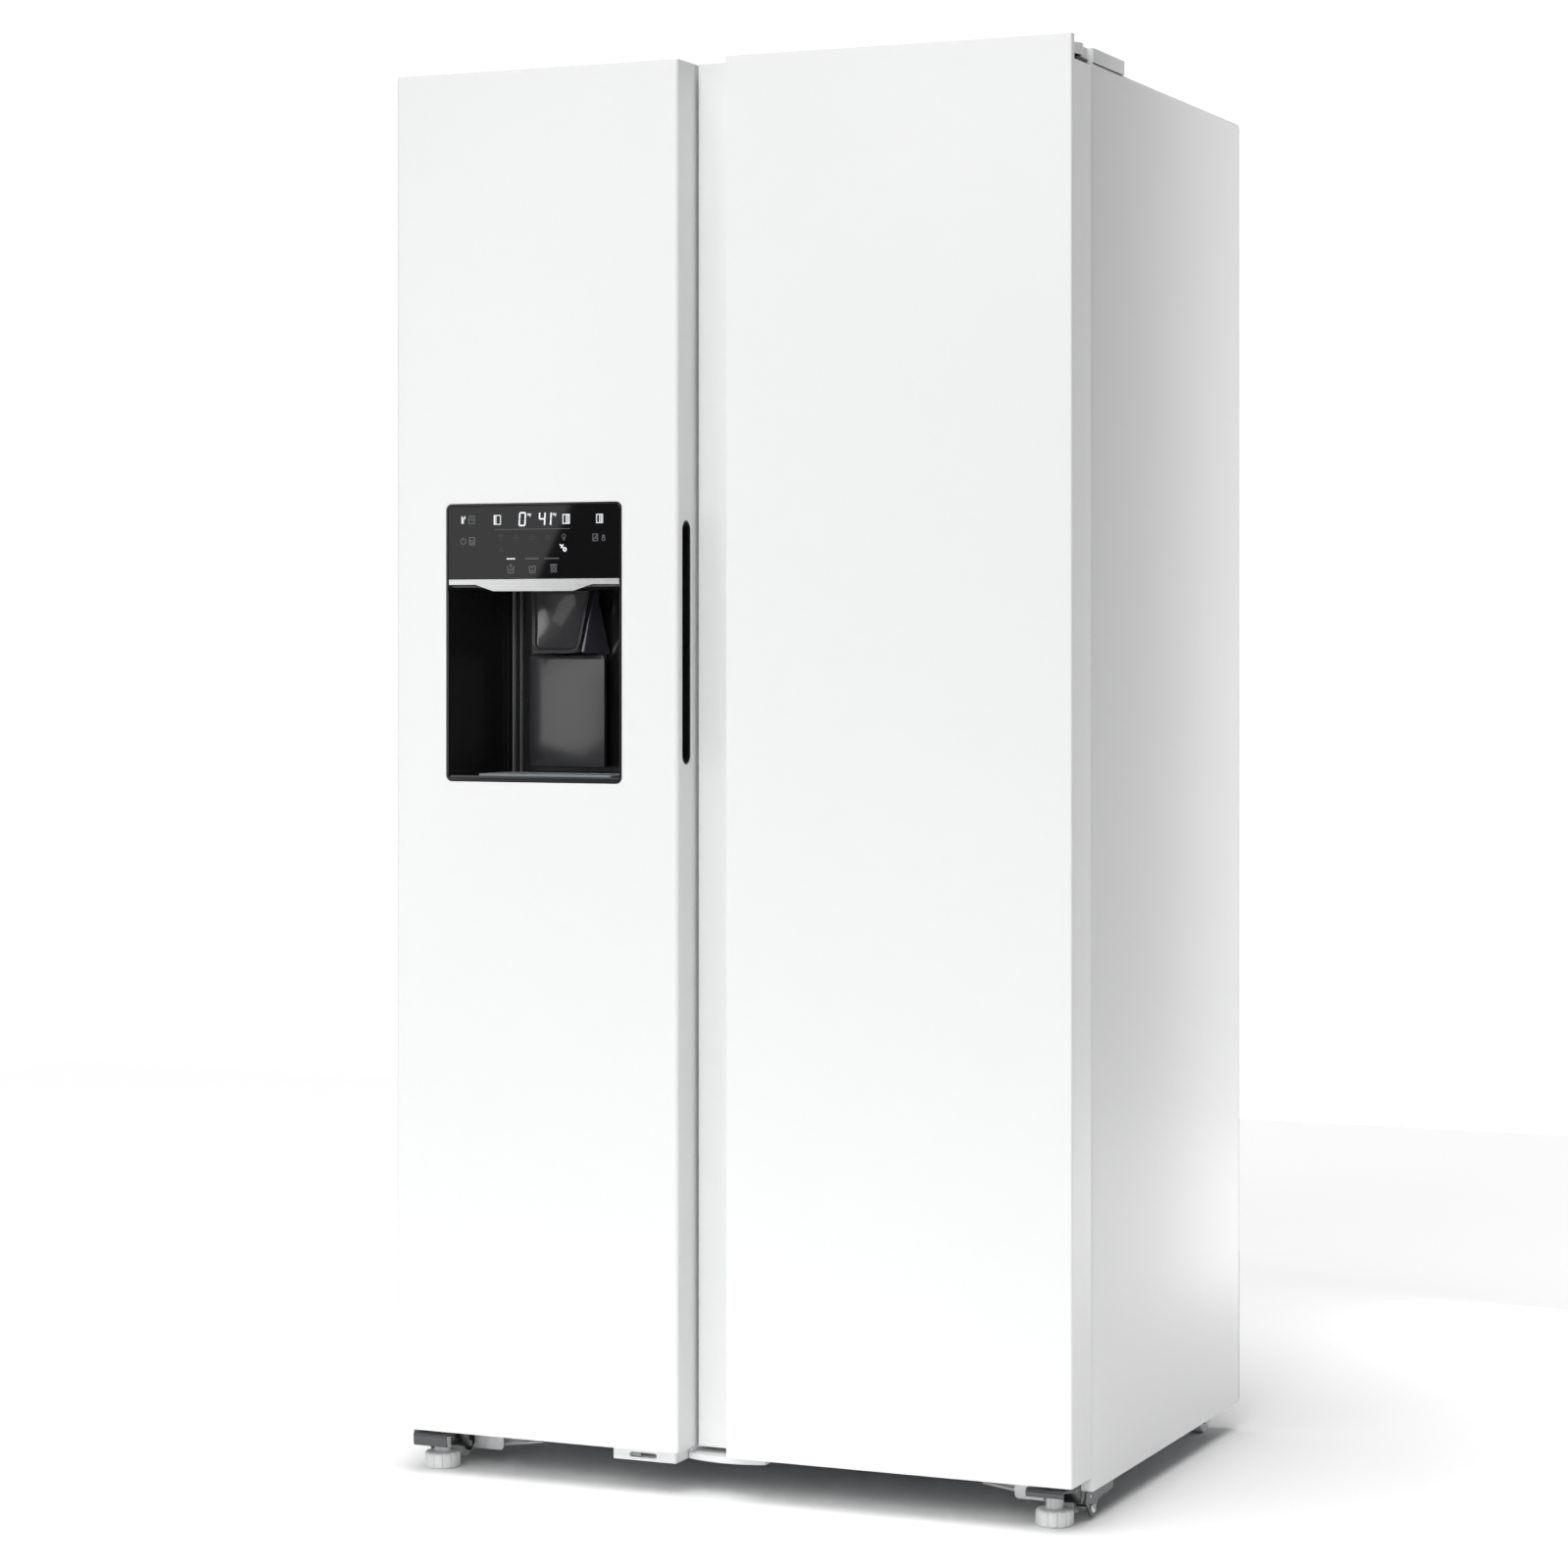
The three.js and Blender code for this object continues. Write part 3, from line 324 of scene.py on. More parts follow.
finishes = {
    "white_enamel": white_enamel(),
    "white_plastic": moulded("white_plastic", (0.83, 0.835, 0.84), 0.38),
    "liner_plastic": moulded("liner_plastic", (0.86, 0.865, 0.87), 0.28, coat=0.2),
    "foam": polyurethane_foam(),
    "gasket_rubber": gasket_rubber(),
    "dark_plastic": gloss_black("dark_plastic", (0.010, 0.010, 0.011), 0.2),
    "black_gloss": gloss_black("black_gloss", (0.020, 0.020, 0.022), 0.12),
    "black_glass": black_glass(),
    "silver_bar": brushed("silver_bar", (0.86, 0.865, 0.87), 0.26, (4.0, 900.0, 900.0)),
    "steel": brushed("steel", (0.13, 0.132, 0.136), 0.24, (30.0, 500.0, 500.0)),
    "galvanised_steel": zinc_plate("galvanised_steel", (0.62, 0.64, 0.66), 0.35),
    "black_steel": black_lacquer(),
    "clear_plastic": clear_styrene(),
    "shelf_glass": shelf_glass(),
    "aluminium": brushed("aluminium", (0.78, 0.79, 0.80), 0.3, (600.0, 600.0, 20.0)),
    "grey_plastic": moulded("grey_plastic", (0.30, 0.32, 0.33), 0.45),
}
# Mid grey, far lighter than the black recess around the ribs: a painted highlight for the bright lines along
# them.
rib_painted_highlight = moulded("rib_painted_highlight", (0.22, 0.222, 0.226), 0.3)
edge_plastic = moulded("edge_plastic", (0.06, 0.062, 0.065), 0.26)
pad_satin = moulded("pad_satin", (0.026, 0.026, 0.030), 0.22, coat=0.8)
spout_gloss = gloss_black("spout_gloss", (0.028, 0.027, 0.030), 0.28)
cheek_gloss = gloss_black("cheek_gloss", (0.060, 0.058, 0.072), 0.24)
bright_zinc = zinc_plate("bright_zinc", (0.80, 0.81, 0.82), 0.22)
pale_zinc = zinc_plate("pale_zinc", (0.84, 0.85, 0.86), 0.42)
rim_plastic = moulded("rim_plastic", (0.78, 0.83, 0.86), 0.2, coat=0.4)
lit_white = lit_mark("lit_white", (0.93, 0.96, 1.0), 1.1)
lit_dim = lit_mark("lit_dim", (0.80, 0.85, 0.90), 0.16)
lit_faint = lit_mark("lit_faint", (0.80, 0.85, 0.90), 0.035)


# ---- Making pieces ------------------------------------------------------------


def finished(name, bm, body, slot, replaces=(), sharp=35.0, unit=MM, material=None):
    """Turns a bmesh, drawn in millimetres, into a piece that rides on a body."""
    bmesh.ops.scale(bm, vec=(unit, unit, unit), verts=bm.verts)
    mesh = bpy.data.meshes.new(name)
    bm.to_mesh(mesh)
    bm.free()
    mesh.polygons.foreach_set("use_smooth", [True] * len(mesh.polygons))
    mesh.set_sharp_from_angle(angle=radians(sharp))
    piece = bpy.data.objects.new(name, mesh)
    bpy.context.scene.collection.objects.link(piece)
    mesh.materials.append(material or finishes[slot])
    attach(piece, body)
    if replaces:
        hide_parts(*replaces)
    return piece


def cad_copy(node):
    """A bmesh of a CAD node with its triangles merged back into flat faces."""
    bm = bmesh.new()
    bm.from_mesh(nodes[node].data)
    bmesh.ops.remove_doubles(bm, verts=bm.verts, dist=0.00001)
    bmesh.ops.dissolve_limit(bm, angle_limit=radians(0.6), verts=bm.verts, edges=bm.edges)
    return bm


def soften(piece, width, segments=2, angle=32.0):
    """Small rounded edges on every hard corner; the width is in millimetres."""
    bevel = piece.modifiers.new("edges", "BEVEL")
    bevel.width = width * MM
    bevel.segments = segments
    bevel.limit_method = "ANGLE"
    bevel.angle_limit = radians(angle)
    bevel.use_clamp_overlap = True
    bevel.harden_normals = True
    return piece


def refined(node, width, segments=2):
    """A CAD node's own form with its edges softened."""
    slot = slot_of_node[node]
    piece = finished(f"{node}_form", cad_copy(node), body_of_node[node], slot, [node], unit=1.0)
    soften(piece, width, segments)


def cuboid(bm, low, high):
    low, high = Vector(low), Vector(high)
    size = Matrix.Diagonal((*(high - low), 1.0))
    made = bmesh.ops.create_cube(bm, size=1.0, matrix=Matrix.Translation((low + high) / 2) @ size)
    return made["verts"]


def arc(centre, radius, start, end, steps=6):
    """Points along part of a circle, in degrees."""
    spread = [start + (end - start) * step / steps for step in range(steps + 1)]
    return [
        (centre[0] + radius * cos(radians(a)), centre[1] + radius * sin(radians(a))) for a in spread
    ]


def rounded_outline(low, high, radii, steps=6):
    """A rectangle with rounded corners: lower left, lower right, upper right, upper left."""
    ll, lr, ur, ul = radii
    return [
        *arc((low[0] + ll, low[1] + ll), ll, 180, 270, steps),
        *arc((high[0] - lr, low[1] + lr), lr, 270, 360, steps),
        *arc((high[0] - ur, high[1] - ur), ur, 0, 90, steps),
        *arc((low[0] + ul, high[1] - ul), ul, 90, 180, steps),
    ]


def turned_to(plane, outline, level):
    """Puts flat points into space: x and z at a depth, x and y at a height, y and z at an x."""
    if plane == "xz":
        return [(a, level, b) for a, b in outline]
    if plane == "xy":
        return [(a, b, level) for a, b in outline]
    return [(level, a, b) for a, b in outline]


def loop_of(bm, points):
    verts = [bm.verts.new(point) for point in points]
    return [bm.edges.new((a, b)) for a, b in zip(verts, verts[1:] + verts[:1])]


def lofted(bm, loops, closed=False):
    """Skins loops that have the same count of points; caps the ends unless it runs round."""
    rings = [loop_of(bm, points) for points in loops]
    pairs = list(zip(rings, rings[1:]))
    if closed:
        pairs.append((rings[-1], rings[0]))
    for first, second in pairs:
        bmesh.ops.bridge_loops(bm, edges=first + second)
    if not closed:
        for ring in (rings[0], rings[-1]):
            bmesh.ops.contextual_create(bm, geom=ring)
    bmesh.ops.recalc_face_normals(bm, faces=bm.faces)


def slab(bm, outline, near, far, plane="xz"):
    """An outline raised between two levels."""
    lofted(bm, [turned_to(plane, outline, near), turned_to(plane, outline, far)])


def spun(bm, profile, centre, axis="z", sides=32):
    """A turned form: the profile is radius and distance along the axis from the centre."""
    loops = []
    for radius, along in profile:
        flat = arc((0, 0), radius, 0, 360 * (1 - 1 / sides), sides - 1)
        place = {"x": lambda a, b, t=along: (t, a, b), "y": lambda a, b, t=along: (b, t, a),
                 "z": lambda a, b, t=along: (a, b, t)}[axis]
        loops.append([tuple(Vector(place(a, b)) + Vector(centre)) for a, b in flat])
    lofted(bm, loops)


def band(bm, low, high, radii, profile, plane, steps=5):
    """A closed frame that runs round a rectangle: the profile is inset and level."""
    loops = []
    for inset, level in profile:
        near = (low[0] + inset, low[1] + inset)
        far = (high[0] - inset, high[1] - inset)
        corners = [max(radius - inset, 0.2) for radius in radii]
        loops.append(turned_to(plane, rounded_outline(near, far, corners, steps), level))
    lofted(bm, loops, closed=True)


def strip(bm, path, width, near, far):
    """A flat line of some width through points in x and z, between two depths."""
    for (ax, az), (bx, bz) in zip(path, path[1:]):
        run = Vector((bx - ax, bz - az)).normalized()
        side = Vector((-run.y, run.x)) * width / 2
        end = run * width / 2
        corners = [(-end + side), (-end - side)]
        outline = [(ax + c.x, az + c.y) for c in corners]
        outline += [(bx - c.x, bz - c.y) for c in corners]
        slab(bm, outline, near, far)


def screw_head(bm, place, axis, radius, height):
    """A pan head with a hexagonal socket; height is signed along the axis."""
    sides = 24
    hexagon = [1 / max(cos(radians((a * 360 / sides) % 60 - 30)), 0.5) for a in range(sides)]
    rows = [
        (radius, 0.0, None), (radius, 0.45, None), (radius * 0.86, 0.82, None), (radius * 0.62, 1.0, None),
        (radius * 0.36, 0.98, hexagon), (radius * 0.34, 0.4, hexagon),
    ]
    loops = []
    for reach, part, shape in rows:
        points = []
        for step in range(sides):
            angle = 2 * pi * step / sides
            r = reach * (shape[step] if shape else 1.0)
            a, b, t = r * cos(angle), r * sin(angle), part * height
            offset = {"x": (t, a, b), "y": (b, t, a), "z": (a, b, t)}[axis]
            points.append(tuple(Vector(place) + Vector(offset)))
        loops.append(points)
    lofted(bm, loops)


# ---- Forms that keep the CAD shape --------------------------------------------

SOFTENED = {
    "outer_wrapper": 0.4, "back_panel": 0.4, "machine_cover": 0.3, "base_pan": 0.6,
    "freezer_door_panel": 0.45, "fridge_door_panel": 0.45, "handle_pocket": 0.5, "door_guide": 1.0,
    "base_lip": 1.6, "top_hinge_left": 0.5, "top_hinge_right": 0.5,
    "bottom_hinge_left": 0.7, "bottom_hinge_right": 0.7, "dispenser_housing": 0.6,
    "dispenser_trim": 0.5, "drip_tray": 0.5, "evaporator_cover": 0.6, "evaporator": 0.3,
    "condenser": 0.4, "ice_maker": 1.0, "ice_bucket": 0.8,
    "freezer_liner": 0.8, "fridge_liner": 0.8, "freezer_door_liner": 0.9, "fridge_door_liner": 0.9,
    "freezer_drawer_upper": 0.8, "freezer_drawer_lower": 0.8, "crisper_upper": 0.8, "crisper_lower": 0.8,
    "freezer_bin_upper": 0.8, "freezer_bin_lower": 0.8, "fridge_bin_upper": 0.8,
    "fridge_bin_middle": 0.8, "fridge_bin_lower": 0.8, "ice_auger": 0.8,
}


def paint_cad_nodes():
    """The doors' foam fillings are painted white, as if their ends were closed with white caps."""
    for node, thing in nodes.items():
        thing.data.materials.clear()
        capped = node in {"freezer_door_foam", "fridge_door_foam"}
        finish = finishes["white_plastic" if capped else slot_of_node[node]]
        thing.data.materials.append(finish)


def in_mm(node):
    """The box of a CAD node in millimetres."""
    low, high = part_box(node)
    return [value / MM for value in low], [value / MM for value in high]


# ---- Dispenser ----------------------------------------------------------------

FRONT = front / MM
GLASS_FACE = FRONT + 0.3
MARK_FACE = FRONT + 0.12


def control_glass():
    (x0, _, z0), (x1, y1, z1) = in_mm("control_panel")
    bm = bmesh.new()
    rows = [(0.0, y1), (0.0, GLASS_FACE + 0.6), (0.25, GLASS_FACE + 0.15), (0.8, GLASS_FACE)]
    loops = []
    for inset, level in rows:
        outline = rounded_outline((x0 + inset, z0 + inset), (x1 - inset, z1 - inset),
                                  [0.4, 0.4, 5.7 - inset, 5.7 - inset])
        loops.append(turned_to("xz", outline, level))
    lofted(bm, loops)
    finished("control_glass", bm, "freezer_door", "black_glass", ["control_panel"], sharp=9)


def digit(bm, pattern, x, z, width, height, stroke):
    """A seven-segment figure; the pattern names its lit segments."""
    lean = 0.06
    half = height / 2
    ends = {
        "a": ((0, height), (width, height)), "g": ((0, half), (width, half)), "d": ((0, 0), (width, 0)),
        "f": ((0, half), (0, height)), "b": ((width, half), (width, height)),
        "e": ((0, 0), (0, half)), "c": ((width, 0), (width, half)),
    }
    for name in pattern:
        (ax, az), (bx, bz) = ends[name]
        run = Vector((bx - ax, bz - az)).normalized() * stroke * 0.62
        start, end = (ax + run.x, az + run.y), (bx - run.x, bz - run.y)
        line = [(x + px + lean * pz, z + pz) for px, pz in (start, end)]
        strip(bm, line, stroke, MARK_FACE, GLASS_FACE + 0.05)


def sign(bm, paths, x, z, size, stroke):
    """Small line drawings, given on a square from -1 to 1."""
    for path in paths:
        line = [(x + px * size, z + pz * size) for px, pz in path]
        strip(bm, line, stroke, MARK_FACE, GLASS_FACE + 0.05)


def ring_path(radius, start=0, end=360, centre=(0, 0)):
    return arc(centre, radius, start, end, 10)


BOX = [(-0.8, -1), (0.8, -1), (0.8, 1), (-0.8, 1), (-0.8, -1)]
CUP = [(-0.9, 0.6), (-0.7, -1), (0.7, -1), (0.9, 0.6)]
GOBLET = [(-0.8, 0.9), (0, 0.0), (0.8, 0.9), (-0.8, 0.9)]
HALF_DOOR = [BOX, [(0.0, -1), (0.0, 1)], [(0.4, -0.9), (0.4, 0.9)]]


def display_marks():
    bright, dim, faint = bmesh.new(), bmesh.new(), bmesh.new()
    digit(bright, "abcdef", -279.0, 1203.5, 8.0, 16.0, 2.0)
    digit(bright, "fgbc", -251.0, 1203.5, 7.6, 16.0, 2.0)
    digit(bright, "bc", -242.5, 1203.5, 7.6, 16.0, 2.0)
    degree = [
        ring_path(0.5, centre=(-0.5, 0.6)), [(0.5, 0.9), (1.3, 0.9)],
        [(0.5, 0.1), (1.1, 0.1)], [(0.5, 0.9), (0.5, -0.8)],
    ]
    for x in (-264.8, -229.5):
        sign(bright, degree, x, 1216.0, 2.1, 0.7)
    left_door = [BOX, [(-0.35, -0.9), (-0.35, 0.9)], [(-0.65, -0.9), (-0.65, 0.9)]]
    sign(bright, left_door, -310.0, 1211.0, 5.6, 1.0)
    sign(bright, HALF_DOOR, -213.0, 1211.0, 5.6, 1.2)
    sign(bright, HALF_DOOR, -166.5, 1211.0, 5.2, 1.0)
    strip(dim, [(-313.0, 1198.8), (-208.0, 1198.8)], 0.55, MARK_FACE, GLASS_FACE + 0.05)
    strip(bright, [(-296.0, 1161.8), (-285.5, 1161.8)], 1.5, MARK_FACE, GLASS_FACE + 0.05)
    for x0, x1 in ((-270.0, -252.5), (-243.0, -223.5)):
        strip(dim, [(x0, 1161.8), (x1, 1161.8)], 1.1, MARK_FACE, GLASS_FACE + 0.05)
    snow = [[(-1, 0), (1, 0)], [(-0.5, -0.87), (0.5, 0.87)], [(-0.5, 0.87), (0.5, -0.87)]]
    clock = [[(0, 0), (0, -1)], [(0, 0), (0.87, 0.5)], ring_path(0.9)]
    hat = [[(-0.9, -0.6), (0.9, -0.6)], [(-0.9, -0.6), (0, 0.9), (0.9, -0.6)], [(0, -0.6), (0, 0.9)]]
    bulb = [ring_path(0.6, centre=(0, 0.3)), [(-0.3, -0.6), (0.3, -0.6)], [(-0.2, -0.95), (0.2, -0.95)]]
    glass = [GOBLET, [(0, 0), (0, -1)], [(-0.5, -1), (0.5, -1)]]
    for place, drawing in enumerate((glass, snow, clock, hat, bulb)):
        target = dim if place == 4 else faint
        sign(target, drawing, -305.5 + place * 22.3, 1188.6, 4.0, 0.8)
    sign(faint, hat, -304.5, 1173.0, 3.6, 0.7)
    spark = [[(-0.95, 0.95), (-0.1, 0.2)], [(-0.6, 0.2), (-0.1, 0.9)], ring_path(0.42, centre=(0.45, -0.35))]
    sign(bright, spark, -217.0, 1174.5, 4.6, 1.5)
    droplet = [[(0, 1.25), (-0.28, 0.75), (0, 0.5), (0.28, 0.75), (0, 1.25)]]
    water = [CUP, [(-0.35, -0.1), (0.0, -0.45), (0.45, 0.15)], *droplet]
    cubes = [CUP, [(-0.5, 0.7), (-0.15, 0.3)], [(0.1, 0.35), (0.5, 0.8)], [(-0.4, -0.45), (0.4, -0.45)]]
    crushed = [ring_path(0.36, centre=(a, b)) for a in (-0.45, 0.45) for b in (-0.5, 0.5)]
    crushed.append([(-0.9, 1.0), (0.9, 1.0)])
    for x, drawing in ((-291.0, water), (-260.5, cubes), (-230.5, crushed)):
        sign(dim, drawing, x, 1149.0, 5.0, 1.0)
    thermometer = [[(-0.3, -0.9), (-0.3, 0.9)], [(0.1, -0.9), (0.1, 0.5)], [(0.6, 0.3), (0.6, 0.9)]]
    sign(bright, thermometer, -359.0, 1211.5, 4.6, 1.3)
    sign(dim, [BOX, [(-0.8, 0), (0.8, 0)], [(-0.3, 0.5), (0.3, 0.5)]], -346.5, 1211.5, 4.8, 0.9)
    sign(dim, [ring_path(0.85, 120, 420), [(0, 0.3), (0, 1)]], -358.5, 1184.5, 4.4, 0.9)
    sign(dim, [BOX, [(-0.8, 0.1), (0.8, 0.1)], [(-0.5, -0.5), (0.5, -0.5)]], -346.0, 1184.5, 4.6, 1.0)
    sign(dim, [BOX, [(-0.5, -0.5), (0.5, 0.6)], [(0.2, -0.3), (0.5, -0.3)]], -172.5, 1187.5, 4.2, 0.9)
    sign(dim, [ring_path(0.5, centre=(0, -0.5)), [(-0.3, 0.2), (-0.3, 0.6), (0.3, 0.6), (0.3, 0.2)]],
         -161.0, 1187.5, 4.2, 1.0)
    marks = (("bright", bright, lit_white), ("dim", dim, lit_dim), ("faint", faint, lit_faint))
    for label, bm, glow in marks:
        finished(f"display_marks_{label}", bm, "freezer_door", "black_glass", material=glow)


def recess_details():
    """Upright ribs and edge beads inside the recess."""
    (x0, _, z0), (x1, _, _) = in_mm("dispenser_housing")
    bm = bmesh.new()
    floor, roof = z0 + 7.0, 1122.0
    wall, crest = FRONT + 117, FRONT + 110
    for x, width in ((-345.2, 2.2), (-334.0, 1.3)):
        outline = [
            (x, wall), (x, crest), *arc((x + width / 2, crest), width / 2, 180, 360, 5), (x + width, wall),
        ]
        slab(bm, outline, floor, roof, "xy")
    # The ribs take the lighter grey: painted highlight standing in for light caught on their rounded crests.
    finished("recess_ribs", bm, "freezer_door", "dark_plastic", material=rib_painted_highlight)
    bm = bmesh.new()
    for depth, reach in ((18, 1.6), (30, 1.2), (40, 1.2)):
        slope = 11.0 * (depth - 10) / 106.0
        x, y = x1 - 3 - slope, FRONT + depth
        outline = [(x + 1.5, y - 1), (x - reach, y - 0.5), (x - reach, y + 0.5), (x + 1.5, y + 1.5)]
        slab(bm, outline, floor, roof, "xy")
    finished("recess_grooves", bm, "freezer_door", "dark_plastic")
    bm = bmesh.new()
    band(bm, (x0, z0), (x1, 1231.7), [8.0] * 4,
         [(0.0, FRONT + 2), (0.0, FRONT + 0.7), (0.35, FRONT + 0.15), (0.9, FRONT), (1.5, FRONT + 0.2),
          (1.8, FRONT + 0.8), (1.8, FRONT + 2)], "xz")
    finished("dispenser_edge", bm, "freezer_door", "dark_plastic", material=edge_plastic)
    bm = bmesh.new()
    sill = rounded_outline((x0 + 3.5, FRONT + 2.0), (x1 - 3.5, FRONT + 6.0), [1.5] * 4)
    slab(bm, sill, z0 + 5.0, z0 + 7.4, "xy")
    finished("recess_sill", bm, "freezer_door", "dark_plastic", material=edge_plastic)


SPOUT_TOP = 1122.0
SPOUT_LOW = 1043.0
SPOUT_MIDDLE = -256.5
SPOUT_POINTS = 120
DISH_INSET = 5.0
DISH_EDGE = 2.4
DISH_DEPTH = 5.0


def spout_lean(z):
    """Depth of the spout's mouth: its lower edge stands further forward."""
    return FRONT + 55.0 + 17.0 * (z - SPOUT_LOW) / (SPOUT_TOP - SPOUT_LOW)


def evened(points, count):
    """The same closed outline with its points spread evenly along it."""
    ends = [Vector(point) for point in points]
    ends.append(ends[0])
    lengths = [0.0]
    for first, second in zip(ends, ends[1:]):
        lengths.append(lengths[-1] + (second - first).length)
    result, place = [], 0
    for step in range(count):
        along = lengths[-1] * step / count
        while lengths[place + 1] < along:
            place += 1
        part = (along - lengths[place]) / (lengths[place + 1] - lengths[place])
        result.append(tuple(ends[place].lerp(ends[place + 1], part)))
    return result


def spout_outline(inset, corner=15.0):
    """A U that widens upwards, in x and z."""
    middle = SPOUT_MIDDLE
    low, high = 34.5 - inset, 41.0 - inset
    radius = max(corner - inset, 2.0)
    base = SPOUT_LOW + inset
    top = SPOUT_TOP - inset * 0.35
    return evened([
        *arc((middle - low + radius, base + radius), radius, 184, 270, 8),
        *arc((middle + low - radius, base + radius), radius, 270, 356, 8),
        (middle + high, top), (middle - high, top),
    ], SPOUT_POINTS)


def ice_spout():
    """A scoop with a raised double rim around its hollow face."""
    bm = bmesh.new()
    rows = [
        (1.5, 34.0), (0.8, 20.0), (0.0, 1.4), (0.2, 0.5), (0.8, 0.0), (1.4, 0.1), (1.9, 0.8), (2.4, 1.0),
        (2.9, 0.5), (3.5, 0.4), (4.1, 1.0), (DISH_INSET, DISH_EDGE),
    ]
    loops = []
    for inset, behind in rows:
        loops.append([(x, spout_lean(z) + behind, z) for x, z in spout_outline(inset)])
    level = (SPOUT_LOW + SPOUT_TOP) / 2
    wide, tall = 36.0, SPOUT_TOP - level - 3.0
    for scale in (0.97, 0.92, 0.85, 0.76, 0.66, 0.55, 0.44, 0.32, 0.2, 0.08):
        loop = []
        for x, z in spout_outline(DISH_INSET):
            across, up = (x - SPOUT_MIDDLE) * scale, (z - level) * scale
            hollow = max(0.0, 1 - (across / wide) ** 2) * max(0.0, 1 - (up / tall) ** 2)
            depth = spout_lean(level + up) + DISH_EDGE + DISH_DEPTH * hollow
            loop.append((SPOUT_MIDDLE + across, depth, level + up))
        loops.append(loop)
    lofted(bm, loops)
    finished("ice_spout", bm, "freezer_door", "black_gloss", ["ice_chute"], sharp=60, material=spout_gloss)
    bm = bmesh.new()
    right = SPOUT_MIDDLE + 34.0
    lower = [(-2, 64), (2.5, 66), (16, 113), (-2, 113)]
    upper = [(1, 82), (6, 84), (8, 96), (1, 98)]
    loops = []
    for plan, z in ((lower, 1044.0), (upper, 1112.0), (upper, 1123.0)):
        loops.append([(right + x, FRONT + y, z) for x, y in plan])
    lofted(bm, loops)
    soften(finished("spout_cheek", bm, "freezer_door", "black_gloss", material=cheek_gloss), 1.5, 3)


def push_pad():
    """The pad's face turns gently from the left wall towards the viewer's right."""
    (x0, _, z0), (x1, _, z1) = in_mm("dispenser_paddle")
    y = FRONT + 93.0
    steps = 24
    width = x1 - x0

    def face(part):
        return y - 2.5 + 3.0 * (1 - part) + 5.5 * (1 - part) ** 2

    def plan(inset, top):
        points = []
        for step in range(steps + 1):
            part = step / steps
            x = x0 + inset + (width - 2 * inset) * part
            points.append((x, face(part) + inset * 0.9))
        edge = [(x1 - inset * 0.4, y - 1.3 + inset), (x1 - inset, y + 4.5), (x0 + inset, y + 8.0)]
        return turned_to("xy", points + edge, top)

    bm = bmesh.new()
    rows = [(2.5, z0), (0.6, z0 + 0.8), (0.0, z0 + 3.0), (0.0, z0 + 40), (0.0, z1 - 40), (0.0, z1 - 9.0),
            (0.7, z1 - 4.5), (2.2, z1 - 1.8), (4.5, z1 - 0.4), (7.0, z1)]
    lofted(bm, [plan(inset, z) for inset, z in rows])
    finished("push_pad", bm, "dispenser_paddle", "dark_plastic", sharp=50, material=pad_satin)
    bm = bmesh.new()
    spun(bm, [(3.5, -42), (5.0, -42), (5.0, 42), (3.5, 42)], (-259.25, FRONT + 104, 1033), "x", 24)
    cuboid(bm, (-300, y + 3, 1030), (-218, FRONT + 104, 1036))
    pivot = finished("pad_pivot", bm, "dispenser_paddle", "dark_plastic", ["dispenser_paddle"])
    soften(pivot, 0.5)


# ---- Feet, rollers and hinges -------------------------------------------------

LOBES = 12


def levelling_foot(label):
    (x0, y0, _), (x1, y1, _) = in_mm(f"foot_{label}")
    x, y = (x0 + x1) / 2, (y0 + y1) / 2
    radius = (x1 - x0) / 2
    count = LOBES * 10

    def lobed(reach, depth, z):
        points = []
        for step in range(count):
            angle = 2 * pi * (step + 0.5) / count + pi / LOBES
            groove = max(0.0, cos(LOBES * angle)) ** 6
            r = reach - depth * groove
            points.append((x + r * cos(angle), y + r * sin(angle), z))
        return points

    bm = bmesh.new()
    rows = [
        (radius - 4.0, 0.0, 0.0), (radius - 1.6, 1.6, 0.3), (radius - 0.3, 2.6, 1.6), (radius, 3.0, 3.0),
        (radius, 3.0, 15.0), (radius - 0.4, 2.8, 17.4), (radius - 1.8, 1.8, 19.2), (radius - 4.0, 0.6, 19.9),
        (16.0, 0.0, 20.2), (12.4, 0.0, 20.6), (11.2, 0.0, 21.2), (10.5, 0.0, 22.4), (10.5, 0.0, 41.8),
        (9.8, 0.0, 43.4), (5.6, 0.0, 43.7), (5.0, 0.0, 44.2), (5.0, 0.0, 52.0),
    ]
    lofted(bm, [lobed(*row) for row in rows])
    finished(f"levelling_foot_{label}", bm, f"foot_{label}", "white_plastic", [f"foot_{label}"], sharp=50)
    bm = bmesh.new()
    for turn in (-3.0, 2.0):
        cuboid(bm, (x + turn, y - 11.4, 20.0), (x + turn + 1.2, y - 6.0, 42.5))
    soften(finished(f"foot_ribs_{label}", bm, f"foot_{label}", "white_plastic"), 0.5)
    return x, y


def threaded_stud(label, x, y):
    bm = bmesh.new()
    start, pitch = 49.4, 0.62
    rows = [(3.6, start)]
    for turn in range(4):
        z = start + turn * pitch
        rows += [(4.9, z + 0.15), (4.3, z + 0.4)]
    rows += [(3.2, 51.9)]
    spun(bm, rows, (x, y, 0), "z", 24)
    finished(f"foot_stud_{label}", bm, f"foot_{label}", "steel")


